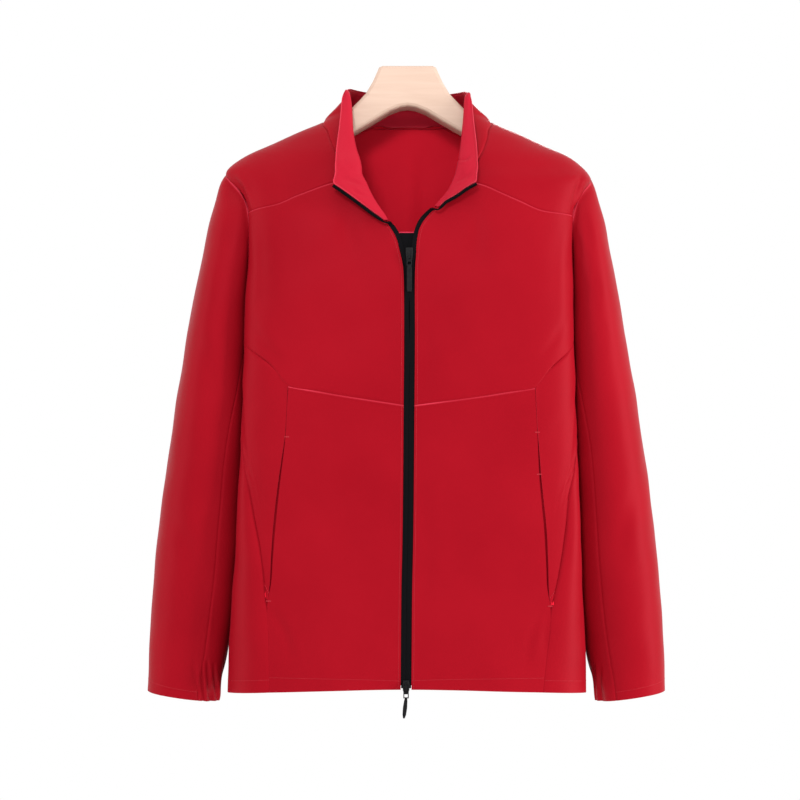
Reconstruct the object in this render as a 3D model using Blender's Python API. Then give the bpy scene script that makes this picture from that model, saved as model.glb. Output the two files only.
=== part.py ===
"""Hiking jacket with a stand collar and a two-way zip, hanging on a wooden hanger.

All sizes below are in millimetres. X points to the wearer's left, Y to the back, Z up.
The origin is the middle of the flat top of the hanger's head.
Every cloth panel lies on one of three forms: the body, a sleeve or the collar. Its
edges are seams drawn on that form, and the wall goes inwards from it.
"""
from collections import namedtuple

import bmesh
import bpy
import numpy as np

MM = 0.001
CLOTH = 1.8            # wall of the bonded softshell cloth
SEAM_GAP = 0.3         # parting between two sewn pieces
SIDES = {"right": -1, "left": 1}

RED = (0.43, 0.008, 0.018, 1.0)
BLACK = (0.012, 0.012, 0.014, 1.0)
GUNMETAL = (0.09, 0.09, 0.10, 1.0)
BEECH = (0.75, 0.56, 0.42, 1.0)

# The body, a stack of rounded sections: distance from the centre line to the visible
# edge on each side, depth in front of and behind the shoulder line, how square the
# section is (2 is an ellipse), and how far the resting sleeve pushes the side in.
BodyRow = namedtuple("BodyRow", "height right left front back square push")
BODY = [
    BodyRow(-60, 93, 92, 28, 47, 2.1, 0),
    BodyRow(-67, 104, 103, 34, 50, 2.1, 0),
    BodyRow(-77, 127, 124, 42, 53, 2.15, 0),
    BodyRow(-96, 170, 167, 50, 57, 2.2, 0),
    BodyRow(-115, 209, 207, 57, 61, 2.3, 0),
    BodyRow(-133, 228, 226, 62, 64, 2.5, 0),
    BodyRow(-141, 225, 230, 64.5, 66, 2.7, 0),
    BodyRow(-160, 210, 219, 69, 69, 3.1, 2),
    BodyRow(-188, 198, 206, 75, 73, 3.9, 6),
    BodyRow(-230, 196, 204, 79, 76, 4.4, 9),
    BodyRow(-293, 199, 204, 82, 79, 4.5, 12),
    BodyRow(-343, 201.5, 205, 82, 79, 4.5, 14.5),
    BodyRow(-416, 204, 207.5, 81, 77, 4.5, 16),
    BodyRow(-478, 206.5, 210, 80, 74, 4.4, 16),
    BodyRow(-576, 212.5, 214, 78, 71, 4.3, 15),
    BodyRow(-648, 217, 217, 77, 70, 4.2, 12.5),
    BodyRow(-700, 221, 219.5, 76, 70, 4.1, 8),
    BodyRow(-740, 223, 221.5, 76, 70, 4.0, 3),
    BodyRow(-800, 224, 223, 76, 70, 4.0, 0),
]
PUSH_BACK = 4          # the resting sleeve is centred a little behind the shoulder line
PUSH_REACH = 66        # and dents the side this far in front of and behind that

# Soft folds that the hanging cloth takes. Turn is the angle round the body from the
# centre front, in degrees, positive to the wearer's left.
Fold = namedtuple("Fold", "turn top bottom width depth lean")
FOLDS = [
    Fold(-55, -470, -790, 7, 2.2, -3),
    Fold(-66, -300, -640, 5, -1.6, 2),
    Fold(57, -430, -790, 7, 2.4, 3),
    Fold(67, -280, -620, 5, -1.6, -2),
    Fold(-24, -560, -790, 9, 1.2, 3),
    Fold(27, -600, -790, 9, 1.3, -3),
    Fold(180, -110, -330, 13, -3.0, 0),
    Fold(150, -420, -790, 9, 3.2, 5),
    Fold(-147, -380, -790, 9, 3.0, -5),
    Fold(171, -540, -790, 8, 2.2, 2),
    Fold(-168, -500, -790, 8, -2.2, -2),
    Fold(122, -330, -700, 6, 2.2, 4),
    Fold(-120, -330, -700, 6, 2.4, -4),
]

# The hem drops towards the sides and the back.
HEM_FRONT = -769
HEM_SIDE = -780
HEM_BACK = -783

# Middle of the zip, which leans a little across the centre line.
ZipRow = namedtuple("ZipRow", "height middle")
ZIP = [
    ZipRow(-800, -2.0),
    ZipRow(-769, -1.8),
    ZipRow(-659, -1.0),
    ZipRow(-574, 0.6),
    ZipRow(-422, 1.9),
    ZipRow(-331, 2.5),
    ZipRow(-248, 2.2),
    ZipRow(-150, 2.2),
]
ZIP_HALF = 6.1         # half of the closed zip's visible width
ZIP_FRONT_GAP = 0.35

# Seams on the fronts: out is the distance from the centre line, and turn stands for it
# where the seam has gone round the side.
SeamRow = namedtuple("SeamRow", "height out turn")
YOKE_FRONT = {
    "right": [SeamRow(-144, 58, None), SeamRow(-150, 91, None), SeamRow(-166.5, 138, None),
              SeamRow(-175, 158, None), SeamRow(-186, None, 68)],
    "left": [SeamRow(-146, 60, None), SeamRow(-150, 84, None), SeamRow(-169.5, 131.5, None),
             SeamRow(-184.5, 169.5, None), SeamRow(-192, None, 68)],
}
YOKE_BACK = [SeamRow(-69.5, None, 152), SeamRow(-96, None, 138), SeamRow(-140, None, 124),
             SeamRow(-186, None, 112)]
CHEST_SEAM = {
    "right": [SeamRow(-422, 4.6, None), SeamRow(-411, 76, None), SeamRow(-399, 145.2, None),
              SeamRow(-367.5, 173.3, None), SeamRow(-341, None, 62), SeamRow(-325, None, 79)],
    "left": [SeamRow(-422, 8.4, None), SeamRow(-412.5, 82, None), SeamRow(-401, 155.5, None),
             SeamRow(-371, 181, None), SeamRow(-342, None, 62), SeamRow(-325, None, 79)],
}
CHEST_SEAM_CORNER = 2  # the row where the pocket seam starts
POCKET_SEAM = {
    "right": [SeamRow(-399, 145.2, None), SeamRow(-461, 149, None), SeamRow(-519, 155.5, None),
              SeamRow(-574, 161.4, None), SeamRow(-646, 167.3, None), SeamRow(-663, 171, None),
              SeamRow(-704, 170, None), SeamRow(-772, 169.2, None)],
    "left": [SeamRow(-401, 155.5, None), SeamRow(-455, 158.3, None), SeamRow(-506, 160.7, None),
             SeamRow(-574, 167, None), SeamRow(-652, 171.5, None), SeamRow(-670, 175, None),
             SeamRow(-704, 173.4, None), SeamRow(-772, 166, None)],
}
POCKET_FOOT = {"right": -663, "left": -670}
POCKET_TOP = -461
POCKET_GAPE = 2.6      # how far the opening stands apart at its widest
POCKET_WIDTH = 24
POCKET_WALL = 1.2
SIDE_FRONT_SEAM = {
    "right": [SeamRow(-341, None, 86), SeamRow(-400, None, 73), SeamRow(-452, None, 62),
              SeamRow(-515, 196, None), SeamRow(-575, 184, None), SeamRow(-611, 177, None),
              SeamRow(-659, 172.8, None)],
    "left": [SeamRow(-341, None, 86), SeamRow(-400, None, 73), SeamRow(-459, None, 62),
             SeamRow(-525, 198.5, None), SeamRow(-575, 193.4, None), SeamRow(-638, 183, None),
             SeamRow(-666, 177, None)],
}
SIDE_BACK_SEAM = [SeamRow(-341, None, 94), SeamRow(-400, None, 106), SeamRow(-470, None, 118),
                  SeamRow(-600, None, 130), SeamRow(-700, None, 134), SeamRow(-781, None, 136)]

# Neck seam: where the collar stands on the yokes, from the front to the shoulder.
NeckRow = namedtuple("NeckRow", "height out")
NECK = {
    "right": [NeckRow(-144, 58), NeckRow(-129, 73), NeckRow(-107, 90), NeckRow(-92, 96.5),
              NeckRow(-80, 101)],
    "left": [NeckRow(-146, 60), NeckRow(-133, 77), NeckRow(-111, 92), NeckRow(-94, 98.5),
             NeckRow(-80, 101.5)],
}
NECK_SHOULDER = -67.5
NECK_BACK = -69.5

# Front edge of each front above the closed zip: the turned-out corner folds along it.
EDGE = {
    "right": [NeckRow(-144, 58), NeckRow(-161.5, 49.8), NeckRow(-175.3, 42.4),
              NeckRow(-187, 34.9), NeckRow(-198.5, 26.5), NeckRow(-205, 21.9),
              NeckRow(-212, 17.2), NeckRow(-222, 12.8), NeckRow(-236, 9.0),
              NeckRow(-252, 5.6)],
    "left": [NeckRow(-146, 60), NeckRow(-153, 57.5), NeckRow(-162, 52.5), NeckRow(-170, 46.5),
             NeckRow(-181, 36.0), NeckRow(-190, 26.5), NeckRow(-201, 17.8),
             NeckRow(-213, 13.2), NeckRow(-228, 11.2), NeckRow(-252, 9.4)],
}

# Armhole, once round from the shoulder over the front: height and place before (-)
# or behind (+) the shoulder line.
ArmholeRow = namedtuple("ArmholeRow", "turn right left depth")
ARMHOLE = [
    ArmholeRow(0, -134, -140, 0),
    ArmholeRow(15, -140, -146, -13),
    ArmholeRow(30, -153, -158, -23),
    ArmholeRow(45, -170, -174, -31.5),
    ArmholeRow(60, -192, -195, -37.5),
    ArmholeRow(75, -217, -219, -40.5),
    ArmholeRow(90, -242, -243, -40),
    ArmholeRow(105, -266, -266, -37),
    ArmholeRow(120, -288, -288, -32),
    ArmholeRow(135, -307, -307, -25.5),
    ArmholeRow(150, -323, -323, -17.5),
    ArmholeRow(165, -336, -336, -9),
    ArmholeRow(180, -341, -341, 0),
]
YOKE_AT_ARMHOLE = 56   # turn round the armhole where the front yoke seam meets it
CHEST_AT_ARMHOLE = 151
SIDE_AT_ARMHOLE = 171

# The sleeve: outline on the outer side of each, how far its inner side is tucked
# behind the body's visible edge, half its depth and where its middle lies.
SleeveRow = namedtuple("SleeveRow", "height right left tuck half_depth middle")
SLEEVE = [
    SleeveRow(-130, 226.5, 224, 22, 3, 1),
    SleeveRow(-134, 229.5, 227.5, 21, 9, 1),
    SleeveRow(-141, 234, 232, 19, 18, 1),
    SleeveRow(-150, 237.4, 235.6, 17, 25, 1.5),
    SleeveRow(-164, 240.8, 239.4, 14, 33, 2),
    SleeveRow(-179, 245, 243.4, 11, 40, 2),
    SleeveRow(-198, 249.3, 248.2, 9, 46, 3),
    SleeveRow(-228, 254.7, 253.5, 8, 53, 3),
    SleeveRow(-265, 263.3, 260.7, 7, 58, 4),
    SleeveRow(-303, 270.8, 267, 6, 60, 4),
    SleeveRow(-341, 277.1, 273.3, 6, 61, 4),
    SleeveRow(-416, 289.6, 287.1, 8, 59, 4),
    SleeveRow(-480, 299, 296.4, 8, 56, 4),
    SleeveRow(-576, 312, 309.3, 7, 51, 4),
    SleeveRow(-648, 319, 316.4, 5, 47, 4),
    SleeveRow(-700, 322.6, 320, 1, 43.5, 3),
    SleeveRow(-745, 324.6, 322, -5.5, 40, 2),
    SleeveRow(-770, 325.6, 322.3, -11, 38, 1),
    SleeveRow(-800, 326.5, 322.6, -14.5, 36.5, 0),
]
SLEEVE_SQUARE = 2.25
CUFF_OUTER = -779      # height of the cuff's edge on the outer side
CUFF_INNER = -792
SEAM_TURN_CUFF = (119, 238)     # turns round the cuff of the under-sleeve's two seams
ELBOW_HEIGHT = -470
GATHER_TOP = -755      # the elastic in the under-sleeve starts here
GATHER_WAVES = 3
GATHER_DEPTH = 2.6

# The collar, section by section from the front tip round to the centre back. Its rim
# is the free edge. The roll, where the cloth turns over, follows the edge of the fronts
# up to the neck's corner and is given from there on. Each place is out from the centre
# line, y and height.
CollarRow = namedtuple("CollarRow", "roll rim")
COLLAR_EDGE_HEIGHT = {"right": (-199, -188, -176, -162.5, -150),
                      "left": (-182, -173.5, -166, -158.5, -151)}
COLLAR_FRONT_RIM = {
    "right": [(28.5, -83.0, -195.4), (38.2, -84.5, -189.5), (50.3, -85.5, -180.5),
              (66, -86.5, -169), (80, -85, -159), (88.8, -83.5, -153)],
    "left": [(37.5, -82.5, -179), (44.5, -84, -174), (57.6, -84.5, -166.3),
             (69.8, -84.5, -157.8), (77, -83.5, -153.5), (82.3, -82, -150.5)],
}
COLLAR_BACK = {
    "right": [CollarRow((56.8, -60, -124.5), (88, -78, -132)),
              CollarRow((61.8, -52, -108.7), (87.2, -67.5, -111)),
              CollarRow((65.8, -43.5, -86.8), (84.6, -54, -84.5)),
              CollarRow((67.5, -35, -67), (82.4, -42, -60.7)),
              CollarRow((69, -30, -50), (81.4, -33, -43.2)),
              CollarRow((71.8, -23, -35), (78.6, -24, -31.5)),
              CollarRow((75, -6, -38), (70.5, -8, -27.5)),
              CollarRow((74, 16, -42), (62.5, 15, -26.2)),
              CollarRow((59, 37, -45), (50, 34, -25.7)),
              CollarRow((31, 50, -47), (27, 47, -26.5)),
              CollarRow((0, 53.5, -47.5), (0, 51, -26.8))],
    "left": [CollarRow((61.5, -60, -124.5), (85.6, -75, -132.5)),
             CollarRow((64.3, -52, -106.9), (85, -65, -110.5)),
             CollarRow((66.6, -43.5, -86.8), (82.8, -53, -84.5)),
             CollarRow((68.3, -35, -67), (81, -42, -64)),
             CollarRow((69.5, -30, -52), (80.2, -33, -48)),
             CollarRow((71.5, -23, -39), (78.4, -24, -36)),
             CollarRow((75, -6, -40.5), (70.8, -8, -31)),
             CollarRow((74, 16, -43), (62.5, 15, -29.3)),
             CollarRow((59, 37, -45.5), (50, 34, -28)),
             CollarRow((31, 50, -47), (27, 47, -27)),
             CollarRow((0, 53.5, -47.5), (0, 51, -26.8))],
}
COLLAR_STEPS = 2       # columns between two sections
# Turn round the neck of the collar's foot at the last seven sections; the sections
# before them stand on the rows of NECK.
COLLAR_FOOT_TURN = (77, 86, 98, 113, 131, 152, 180)
COLLAR_FOOT_GAP = 0.45

# Zip tape. It lies between the fronts, parts at the slider, follows the open edge and
# turns over with the cloth at the tip: there, edge is its sewn side and free the side
# with the coil, each out from the centre line, y and height. Then it follows the rim.
TAPE_WALL = 1.3
TAPE_CROWN = 0.12      # the coil under the tape lifts its middle
TAPE_SUNK = 0.5        # its face lies this far under the face of the fronts
TAPE_OPEN = 5.2        # width of the parted tape
TAPE_PARTS_AT = -250
TAPE_GAP = 0.35
TapeRow = namedtuple("TapeRow", "edge free")
TAPE_TURN = {
    "right": [TapeRow((25.0, -79.8, -201.6), (21.4, -82.2, -200.6)),
              TapeRow((28.9, -81.8, -200.5), (26.0, -85.0, -201.7)),
              TapeRow((33.0, -84.2, -195.6), (33.2, -86.8, -198.8))],
    "left": [TapeRow((31.8, -80.2, -185.6), (29.0, -82.6, -183.8)),
             TapeRow((37.6, -81.6, -184.8), (35.6, -85.0, -186.2)),
             TapeRow((41.3, -83.8, -180.0), (41.8, -86.2, -183.4))],
}
RIM_TAPE_WIDE = 3.8    # width of the tape along the rim
TAPE_TIP = {"right": -201.8, "left": -185.6}   # height where the tape leaves the fronts

# Wind guard behind the zip: reach to either side of the centre line.
GuardRow = namedtuple("GuardRow", "height right left")
GUARD = [GuardRow(-211, 10, 8), GuardRow(-235, 12, 11), GuardRow(-265, 13.5, 13.5),
         GuardRow(-420, 13.5, 13.5), GuardRow(-600, 13.5, 13.5), GuardRow(-764, 13.5, 13.5)]
GUARD_WALL = 1.2
GUARD_DEPTH = CLOTH + 1.0

# Sliders and pulls of the two-way zip. A slider is a plate with a bridge over it, and
# the pull's link hangs in the bridge and turns about its top bar.
OutlineRow = namedtuple("OutlineRow", "out height")
SLIDER_THICK = 2.2
SLIDER_GAP = 0.85      # between the tape and the slider
BRIDGE_WIDE = 2.4
BRIDGE_LONG = 8.0
BRIDGE_RISE = 3.5
BRIDGE_WALL = 1.1
LINK_BAR = 1.2
LINK_WIDE = 6.6
PULL_WALL = 1.8
PullRow = namedtuple("PullRow", "axis_height link_long tab_long lean")
PULLS = {"upper": PullRow(-239.5, 12.5, 32.5, 0.0), "lower": PullRow(-765.0, 13.0, 25.0, -2.6)}
SLIDER_OUTLINE = {
    "upper": [OutlineRow(4.3, 8.5), OutlineRow(4.4, 2.0), OutlineRow(3.6, -5.0),
              OutlineRow(2.8, -9.0)],
    "lower": [OutlineRow(3.4, 7.5), OutlineRow(4.3, 2.0), OutlineRow(4.0, -4.0),
              OutlineRow(2.0, -9.0)],
}
TAB_OUTLINE = {
    "upper": [OutlineRow(2.2, 0.0), OutlineRow(2.9, 0.10), OutlineRow(3.0, 0.9),
              OutlineRow(2.2, 1.0)],
    "lower": [OutlineRow(1.4, 0.0), OutlineRow(2.1, 0.16), OutlineRow(2.6, 0.5),
              OutlineRow(2.2, 0.82), OutlineRow(1.0, 1.0)],
}

# The hanger: half outline of the head and arms, out and height, from the middle of
# the top round to the middle of the arch below.
HANGER = [
    OutlineRow(0, 0), OutlineRow(31, 0), OutlineRow(35.5, -2), OutlineRow(38.5, -9),
    OutlineRow(43.5, -20), OutlineRow(52, -34.5), OutlineRow(61, -44), OutlineRow(69.5, -52.5),
    OutlineRow(92, -70), OutlineRow(112, -82.5), OutlineRow(150, -99.5), OutlineRow(190, -118),
    OutlineRow(199, -125), OutlineRow(201.5, -134), OutlineRow(197, -143), OutlineRow(188, -146),
    OutlineRow(150, -131), OutlineRow(104, -106), OutlineRow(66, -82), OutlineRow(44.5, -69.5),
    OutlineRow(23, -56.5), OutlineRow(10, -51.5), OutlineRow(0, -50),
]
HANGER_DEPTH = 45
# The edges are rounded: distance from the face and how far the outline is drawn in.
HANGER_ROUND = [(0.0, 4.0), (1.2, 1.4), (4.0, 0.0)]


# ---------------------------------------------------------------- smooth tables

def smooth_curve(knots, values):
    """Cubic through the rows of a table that never overshoots them."""
    order = np.argsort(knots)
    x = np.asarray(knots, float)[order]
    y = np.asarray(values, float)[order]
    step = np.diff(x)
    slope = np.diff(y) / step
    tangent = np.zeros(len(x))
    tangent[0] = slope[0]
    tangent[-1] = slope[-1]
    for i in range(1, len(x) - 1):
        if slope[i - 1] * slope[i] > 0:
            before = 2 * step[i] + step[i - 1]
            after = step[i] + 2 * step[i - 1]
            tangent[i] = (before + after) / (before / slope[i - 1] + after / slope[i])

    def value_at(place):
        place = np.clip(np.asarray(place, float), x[0], x[-1])
        i = np.clip(np.searchsorted(x, place) - 1, 0, len(x) - 2)
        t = (place - x[i]) / step[i]
        return (y[i] * (1 + 2 * t) * (1 - t) ** 2 + tangent[i] * step[i] * t * (1 - t) ** 2
                + y[i + 1] * t ** 2 * (3 - 2 * t) + tangent[i + 1] * step[i] * t ** 2 * (t - 1))

    return value_at


def column_curve(rows, column, knot="height"):
    return smooth_curve([getattr(row, knot) for row in rows], [getattr(row, column) for row in rows])


def ease(t):
    """0 to 1 with soft ends."""
    t = np.clip(t, 0, 1)
    return t * t * (3 - 2 * t)


# ---------------------------------------------------------------- the body's form

body_curves = {name: column_curve(BODY, name) for name in BodyRow._fields[1:]}
zip_middle = column_curve(ZIP, "middle")


def section_radius(angle, square):
    """Polar radius of a unit superellipse."""
    return (np.abs(np.sin(angle)) ** square + np.abs(np.cos(angle)) ** square) ** (-1 / square)


def side_dent(y, push):
    """How far the resting sleeve pushes the side in at the depth y."""
    window = np.clip(1 - ((y - PUSH_BACK) / PUSH_REACH) ** 2, 0, 1)
    return push * window ** 2


def edge_gain(square, push, half):
    """Widest place of the dented section, so that the table's half width is what shows."""
    angle = np.radians(np.linspace(40, 90, 26))
    shape = (Ellipsis,) + (None,) * np.ndim(square)
    angle = angle[shape]
    radius = section_radius(angle, square)
    y = -80 * radius * np.cos(angle)
    return np.max(radius * np.sin(angle) - side_dent(y, push) / half, axis=0)


def fold_depth(turn, height):
    """Sum of the soft folds at a place on the body."""
    depth = np.zeros(np.broadcast(turn, height).shape)
    for fold in FOLDS:
        along = (fold.top - height) / (fold.top - fold.bottom)
        middle = fold.turn + fold.lean * along
        away = (turn - middle + 180) % 360 - 180
        depth = depth + fold.depth * np.exp(-(away / fold.width) ** 2) * ease(along * 1.6)
    return depth


def body_point(turn, height):
    """Outer face of the body's cloth, turn in degrees from the centre front."""
    turn = np.asarray(turn, float)
    height = np.asarray(height, float)
    turn, height = np.broadcast_arrays(turn, height)
    angle = np.radians(turn)
    sine = np.sin(angle)
    cosine = np.cos(angle)
    square = body_curves["square"](height)
    push = body_curves["push"](height)
    half = np.where(sine < 0, body_curves["right"](height), body_curves["left"](height))
    depth = np.where(cosine > 0, body_curves["front"](height), body_curves["back"](height))
    radius = section_radius(angle, square)
    y = -depth * radius * cosine
    out = half * (radius * np.abs(sine) - side_dent(y, push) / half) / edge_gain(square, push, half)
    x = np.sign(sine) * out
    normal_x = x / half ** 2
    normal_y = y / depth ** 2
    length = np.hypot(normal_x, normal_y) + 1e-9
    fold = fold_depth(turn, height)
    x = x + fold * normal_x / length
    y = y + fold * normal_y / length
    return np.stack([x, y, height], axis=-1)


def body_normal(turn, height):
    """Outward unit normal of the body's cloth."""
    around = body_point(turn + 0.25, height) - body_point(turn - 0.25, height)
    up = body_point(turn, height + 0.25) - body_point(turn, height - 0.25)
    normal = np.cross(around, up)
    return normal / np.linalg.norm(normal, axis=-1, keepdims=True)


def halve(low, high, too_low):
    """Place between low and high where the test stops being true."""
    for _ in range(26):
        middle = (low + high) / 2
        below = too_low(middle)
        low = np.where(below, middle, low)
        high = np.where(below, high, middle)
    return (low + high) / 2


def turn_at(out, height):
    """Turn on the front where the cloth is this far from the centre line; out is signed."""
    out = np.asarray(out, float)
    side = np.where(out < 0, -1.0, 1.0)
    start = 0 * (out + height)
    return side * halve(start, start + 62.0,
                        lambda turn: np.abs(body_point(side * turn, height)[..., 0]) < np.abs(out))


def turn_at_depth(side, depth, height):
    """Turn near the side where the cloth lies at this y."""
    start = 0 * (np.asarray(depth, float) + height)
    return side * halve(start + 32.0, start + 148.0,
                        lambda turn: body_point(side * turn, height)[..., 1] < depth)


# ---------------------------------------------------------------- seams on the body

def place_on_body(side, row):
    """(turn, height) of a seam row."""
    turn = side * row.turn if row.turn is not None else turn_at(side * row.out, row.height)
    return turn, row.height


def seam_line(points, count):
    """Smooth line through (turn, height) points, cut into equal steps along the cloth."""
    points = np.asarray(points, float)
    place = body_point(points[:, 0], points[:, 1])
    length = np.concatenate([[0], np.cumsum(np.linalg.norm(np.diff(place, axis=0), axis=1))])
    turn = smooth_curve(length, points[:, 0])
    height = smooth_curve(length, points[:, 1])
    at = np.linspace(0, length[-1], count + 1)
    return np.stack([turn(at), height(at)], axis=-1)


def rows_on_body(side, rows):
    return [place_on_body(side, row) for row in rows]


def join_lines(*lines):
    """One line out of several that meet end to end."""
    joined = [lines[0]]
    for line in lines[1:]:
        joined.append(line[1:])
    return np.concatenate(joined)


armhole_height = {name: column_curve(ARMHOLE, name, "turn") for name in SIDES}
armhole_depth = column_curve(ARMHOLE, "depth", "turn")
BACK_SHALLOWER = 0.96


def armhole_place(name, turn):
    """(turn on the body, height) of the armhole at a turn round it, 0 to 360."""
    folded = turn if turn <= 180 else 360 - turn
    height = float(armhole_height[name](folded))
    depth = float(armhole_depth(folded))
    if turn > 180:
        depth = -depth * BACK_SHALLOWER
    return turn_at_depth(SIDES[name], depth, height), height


def armhole_line(name, start, end, count):
    return np.array([armhole_place(name, turn) for turn in np.linspace(start, end, count + 1)])


def hem_height(turn):
    """The hem is lower at the sides and lowest at the back."""
    swing = (1 - np.cos(np.radians(turn) * 2)) / 2
    front = np.abs((np.asarray(turn) + 180) % 360 - 180) < 90
    centre = np.where(front, HEM_FRONT, HEM_BACK)
    return centre + (HEM_SIDE - centre) * swing


def hem_line(start, end, count):
    turn = np.linspace(start, end, count + 1)
    return np.stack([turn, hem_height(turn)], axis=-1)


def zip_edge(name, top, bottom, count):
    """Edge of a front along the closed zip, from the top down."""
    height = np.linspace(top, bottom, count + 1)
    side = SIDES[name]
    out = zip_middle(height) + side * (ZIP_HALF + ZIP_FRONT_GAP)
    return np.array([(turn_at(o, h), h) for o, h in zip(out, height)])


def patch(first, last, inner, outer, fade=1):
    """Fill between four seam lines that share their corners.

    The bend of the first and last line dies away faster with a larger fade.
    """
    across = np.linspace(0, 1, len(first))[:, None, None]
    along = np.linspace(0, 1, len(inner))[None, :, None]
    ruled = (1 - across) * inner[None] + across * outer[None]
    bends = [line[:, None] - (1 - across) * line[0] - across * line[-1] for line in (first, last)]
    return ruled + (1 - along) ** fade * bends[0] + along ** fade * bends[1]


# ---------------------------------------------------------------- walls

def to_edge(points, row, inward, along):
    """Shift of an edge row of points away from its seam by half the gap."""
    inner = points[inward] - points[row]
    line = np.gradient(points[row], axis=0)
    line = line / (np.linalg.norm(line, axis=-1, keepdims=True) + 1e-9)
    inner = inner - line * np.sum(inner * line, axis=-1, keepdims=True)
    return inner / (np.linalg.norm(inner, axis=-1, keepdims=True) + 1e-9) * along


def inset(points, gap):
    """Grid of points with its four edges drawn in by half the seam gap."""
    moved = points.copy()
    turned = points.transpose(1, 0, 2)
    moved[0] += to_edge(points, 0, 1, gap / 2)
    moved[-1] += to_edge(points, -1, -2, gap / 2)
    moved[:, 0] += to_edge(turned, 0, 1, gap / 2)
    moved[:, -1] += to_edge(turned, -1, -2, gap / 2)
    return moved


def make_material(name, colour, roughness, metallic=0.0):
    material = bpy.data.materials.new(name)
    material.use_nodes = True
    shader = material.node_tree.nodes["Principled BSDF"]
    shader.inputs["Base Color"].default_value = colour
    shader.inputs["Roughness"].default_value = roughness
    shader.inputs["Metallic"].default_value = metallic
    return material


def add_object(name, mesh, material, collection):
    mesh.materials.append(material)
    piece = bpy.data.objects.new(name, mesh)
    collection.objects.link(piece)
    return piece


def cut_face(start, end, back, rank):
    """Two triangles of a wall's cut edge, split the same way on both sides of a seam."""
    if rank[start] < rank[end]:
        return (end, start, end + back), (start, start + back, end + back)
    return (end, start, start + back), (end, start + back, end + back)


def wall_mesh(name, outer, inner):
    """Closed wall between two grids of points, in millimetres."""
    rows, columns = outer.shape[:2]
    points = np.concatenate([outer.reshape(-1, 3), inner.reshape(-1, 3)]) * MM
    index = np.arange(rows * columns).reshape(rows, columns)
    back = index + rows * columns
    faces = []
    for i in range(rows - 1):
        for j in range(columns - 1):
            faces.append((index[i, j], index[i + 1, j], index[i + 1, j + 1], index[i, j + 1]))
            faces.append((back[i, j], back[i, j + 1], back[i + 1, j + 1], back[i + 1, j]))
    rank = points @ np.array([0.3, 0.1, 1.0])
    for edge in (index[:, 0], index[::-1, -1], index[0, ::-1], index[-1]):
        for start, end in zip(edge[:-1], edge[1:]):
            faces.extend(cut_face(start, end, rows * columns, rank))
    mesh = bpy.data.meshes.new(name)
    mesh.from_pydata(points.tolist(), [], [tuple(int(i) for i in face) for face in faces])
    form = bmesh.new()
    form.from_mesh(mesh)
    bmesh.ops.recalc_face_normals(form, faces=form.faces)
    form.to_mesh(mesh)
    form.free()
    mesh.shade_smooth()
    return mesh


def cloth_on_body(name, places, material, collection, depth=0.0, wall=CLOTH, gap=SEAM_GAP):
    """Panel over a grid of (turn, height), its outer face this far under the form."""
    normal = body_normal(places[..., 0], places[..., 1])
    face = body_point(places[..., 0], places[..., 1])
    drawn_in = inset(face, gap)
    outer = drawn_in - depth * normal
    inner = drawn_in - (depth + wall) * normal
    return add_object(name, wall_mesh(name, outer, inner), material, collection)


# ---------------------------------------------------------------- body panels

CHEST_ACROSS = (5, 4)          # cells from the zip to the pocket seam, and on to the armhole
CHEST_UP = (5, 5)              # cells up the closed zip, and up the open edge
LOWER_UP = 13
SIDE_FRONT_UP = 12
BACK_ARMHOLE = 7
SIDE_PANEL_ACROSS = 8
SIDE_PANEL_BELOW = 3


def chest_seam(name):
    """The seam in two stretches that meet where the pocket seam starts."""
    side = SIDES[name]
    rows = rows_on_body(side, CHEST_SEAM[name])
    rows[-1] = armhole_place(name, CHEST_AT_ARMHOLE)
    rows[0] = tuple(zip_edge(name, CHEST_SEAM[name][0].height, CHEST_SEAM[name][0].height, 0)[0])
    first = seam_line(rows[:CHEST_SEAM_CORNER + 1], CHEST_ACROSS[0])
    second = seam_line(rows[CHEST_SEAM_CORNER:], CHEST_ACROSS[1])
    return first, second


def yoke_front_seam(name):
    side = SIDES[name]
    rows = rows_on_body(side, YOKE_FRONT[name])
    rows[-1] = armhole_place(name, YOKE_AT_ARMHOLE)
    return seam_line(rows, sum(CHEST_ACROSS))


def open_edge(name):
    """Front edge of the front from the neck down to the closed zip."""
    side = SIDES[name]
    rows = [(turn_at(side * row.out, row.height), row.height) for row in EDGE[name]]
    first = YOKE_FRONT[name][0]
    rows[0] = place_on_body(side, first)
    return seam_line(rows, CHEST_UP[1] * 2)


def chest_panel(name, material, collection):
    first, second = chest_seam(name)
    bottom = join_lines(first, second)
    top = yoke_front_seam(name)
    opened = open_edge(name)[::-1]
    closed = zip_edge(name, CHEST_SEAM[name][0].height, EDGE[name][-1].height, CHEST_UP[0])
    closed[-1] = opened[0]
    inner = join_lines(closed, opened)
    outer = armhole_line(name, CHEST_AT_ARMHOLE, YOKE_AT_ARMHOLE, len(inner) - 1)
    bottom[-1] = outer[0]
    top[-1] = outer[-1]
    places = patch(bottom, top, inner, outer)
    return cloth_on_body("chest_" + name, places, material, collection)


def pocket_seam(name, top, bottom, count):
    """Stretch of the pocket seam between two heights."""
    side = SIDES[name]
    rows = rows_on_body(side, POCKET_SEAM[name])
    height = [row[1] for row in rows]
    turn = smooth_curve(height, [row[0] for row in rows])
    at = np.linspace(top, bottom, count + 1)
    return np.stack([turn(at), at], axis=-1)


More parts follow.
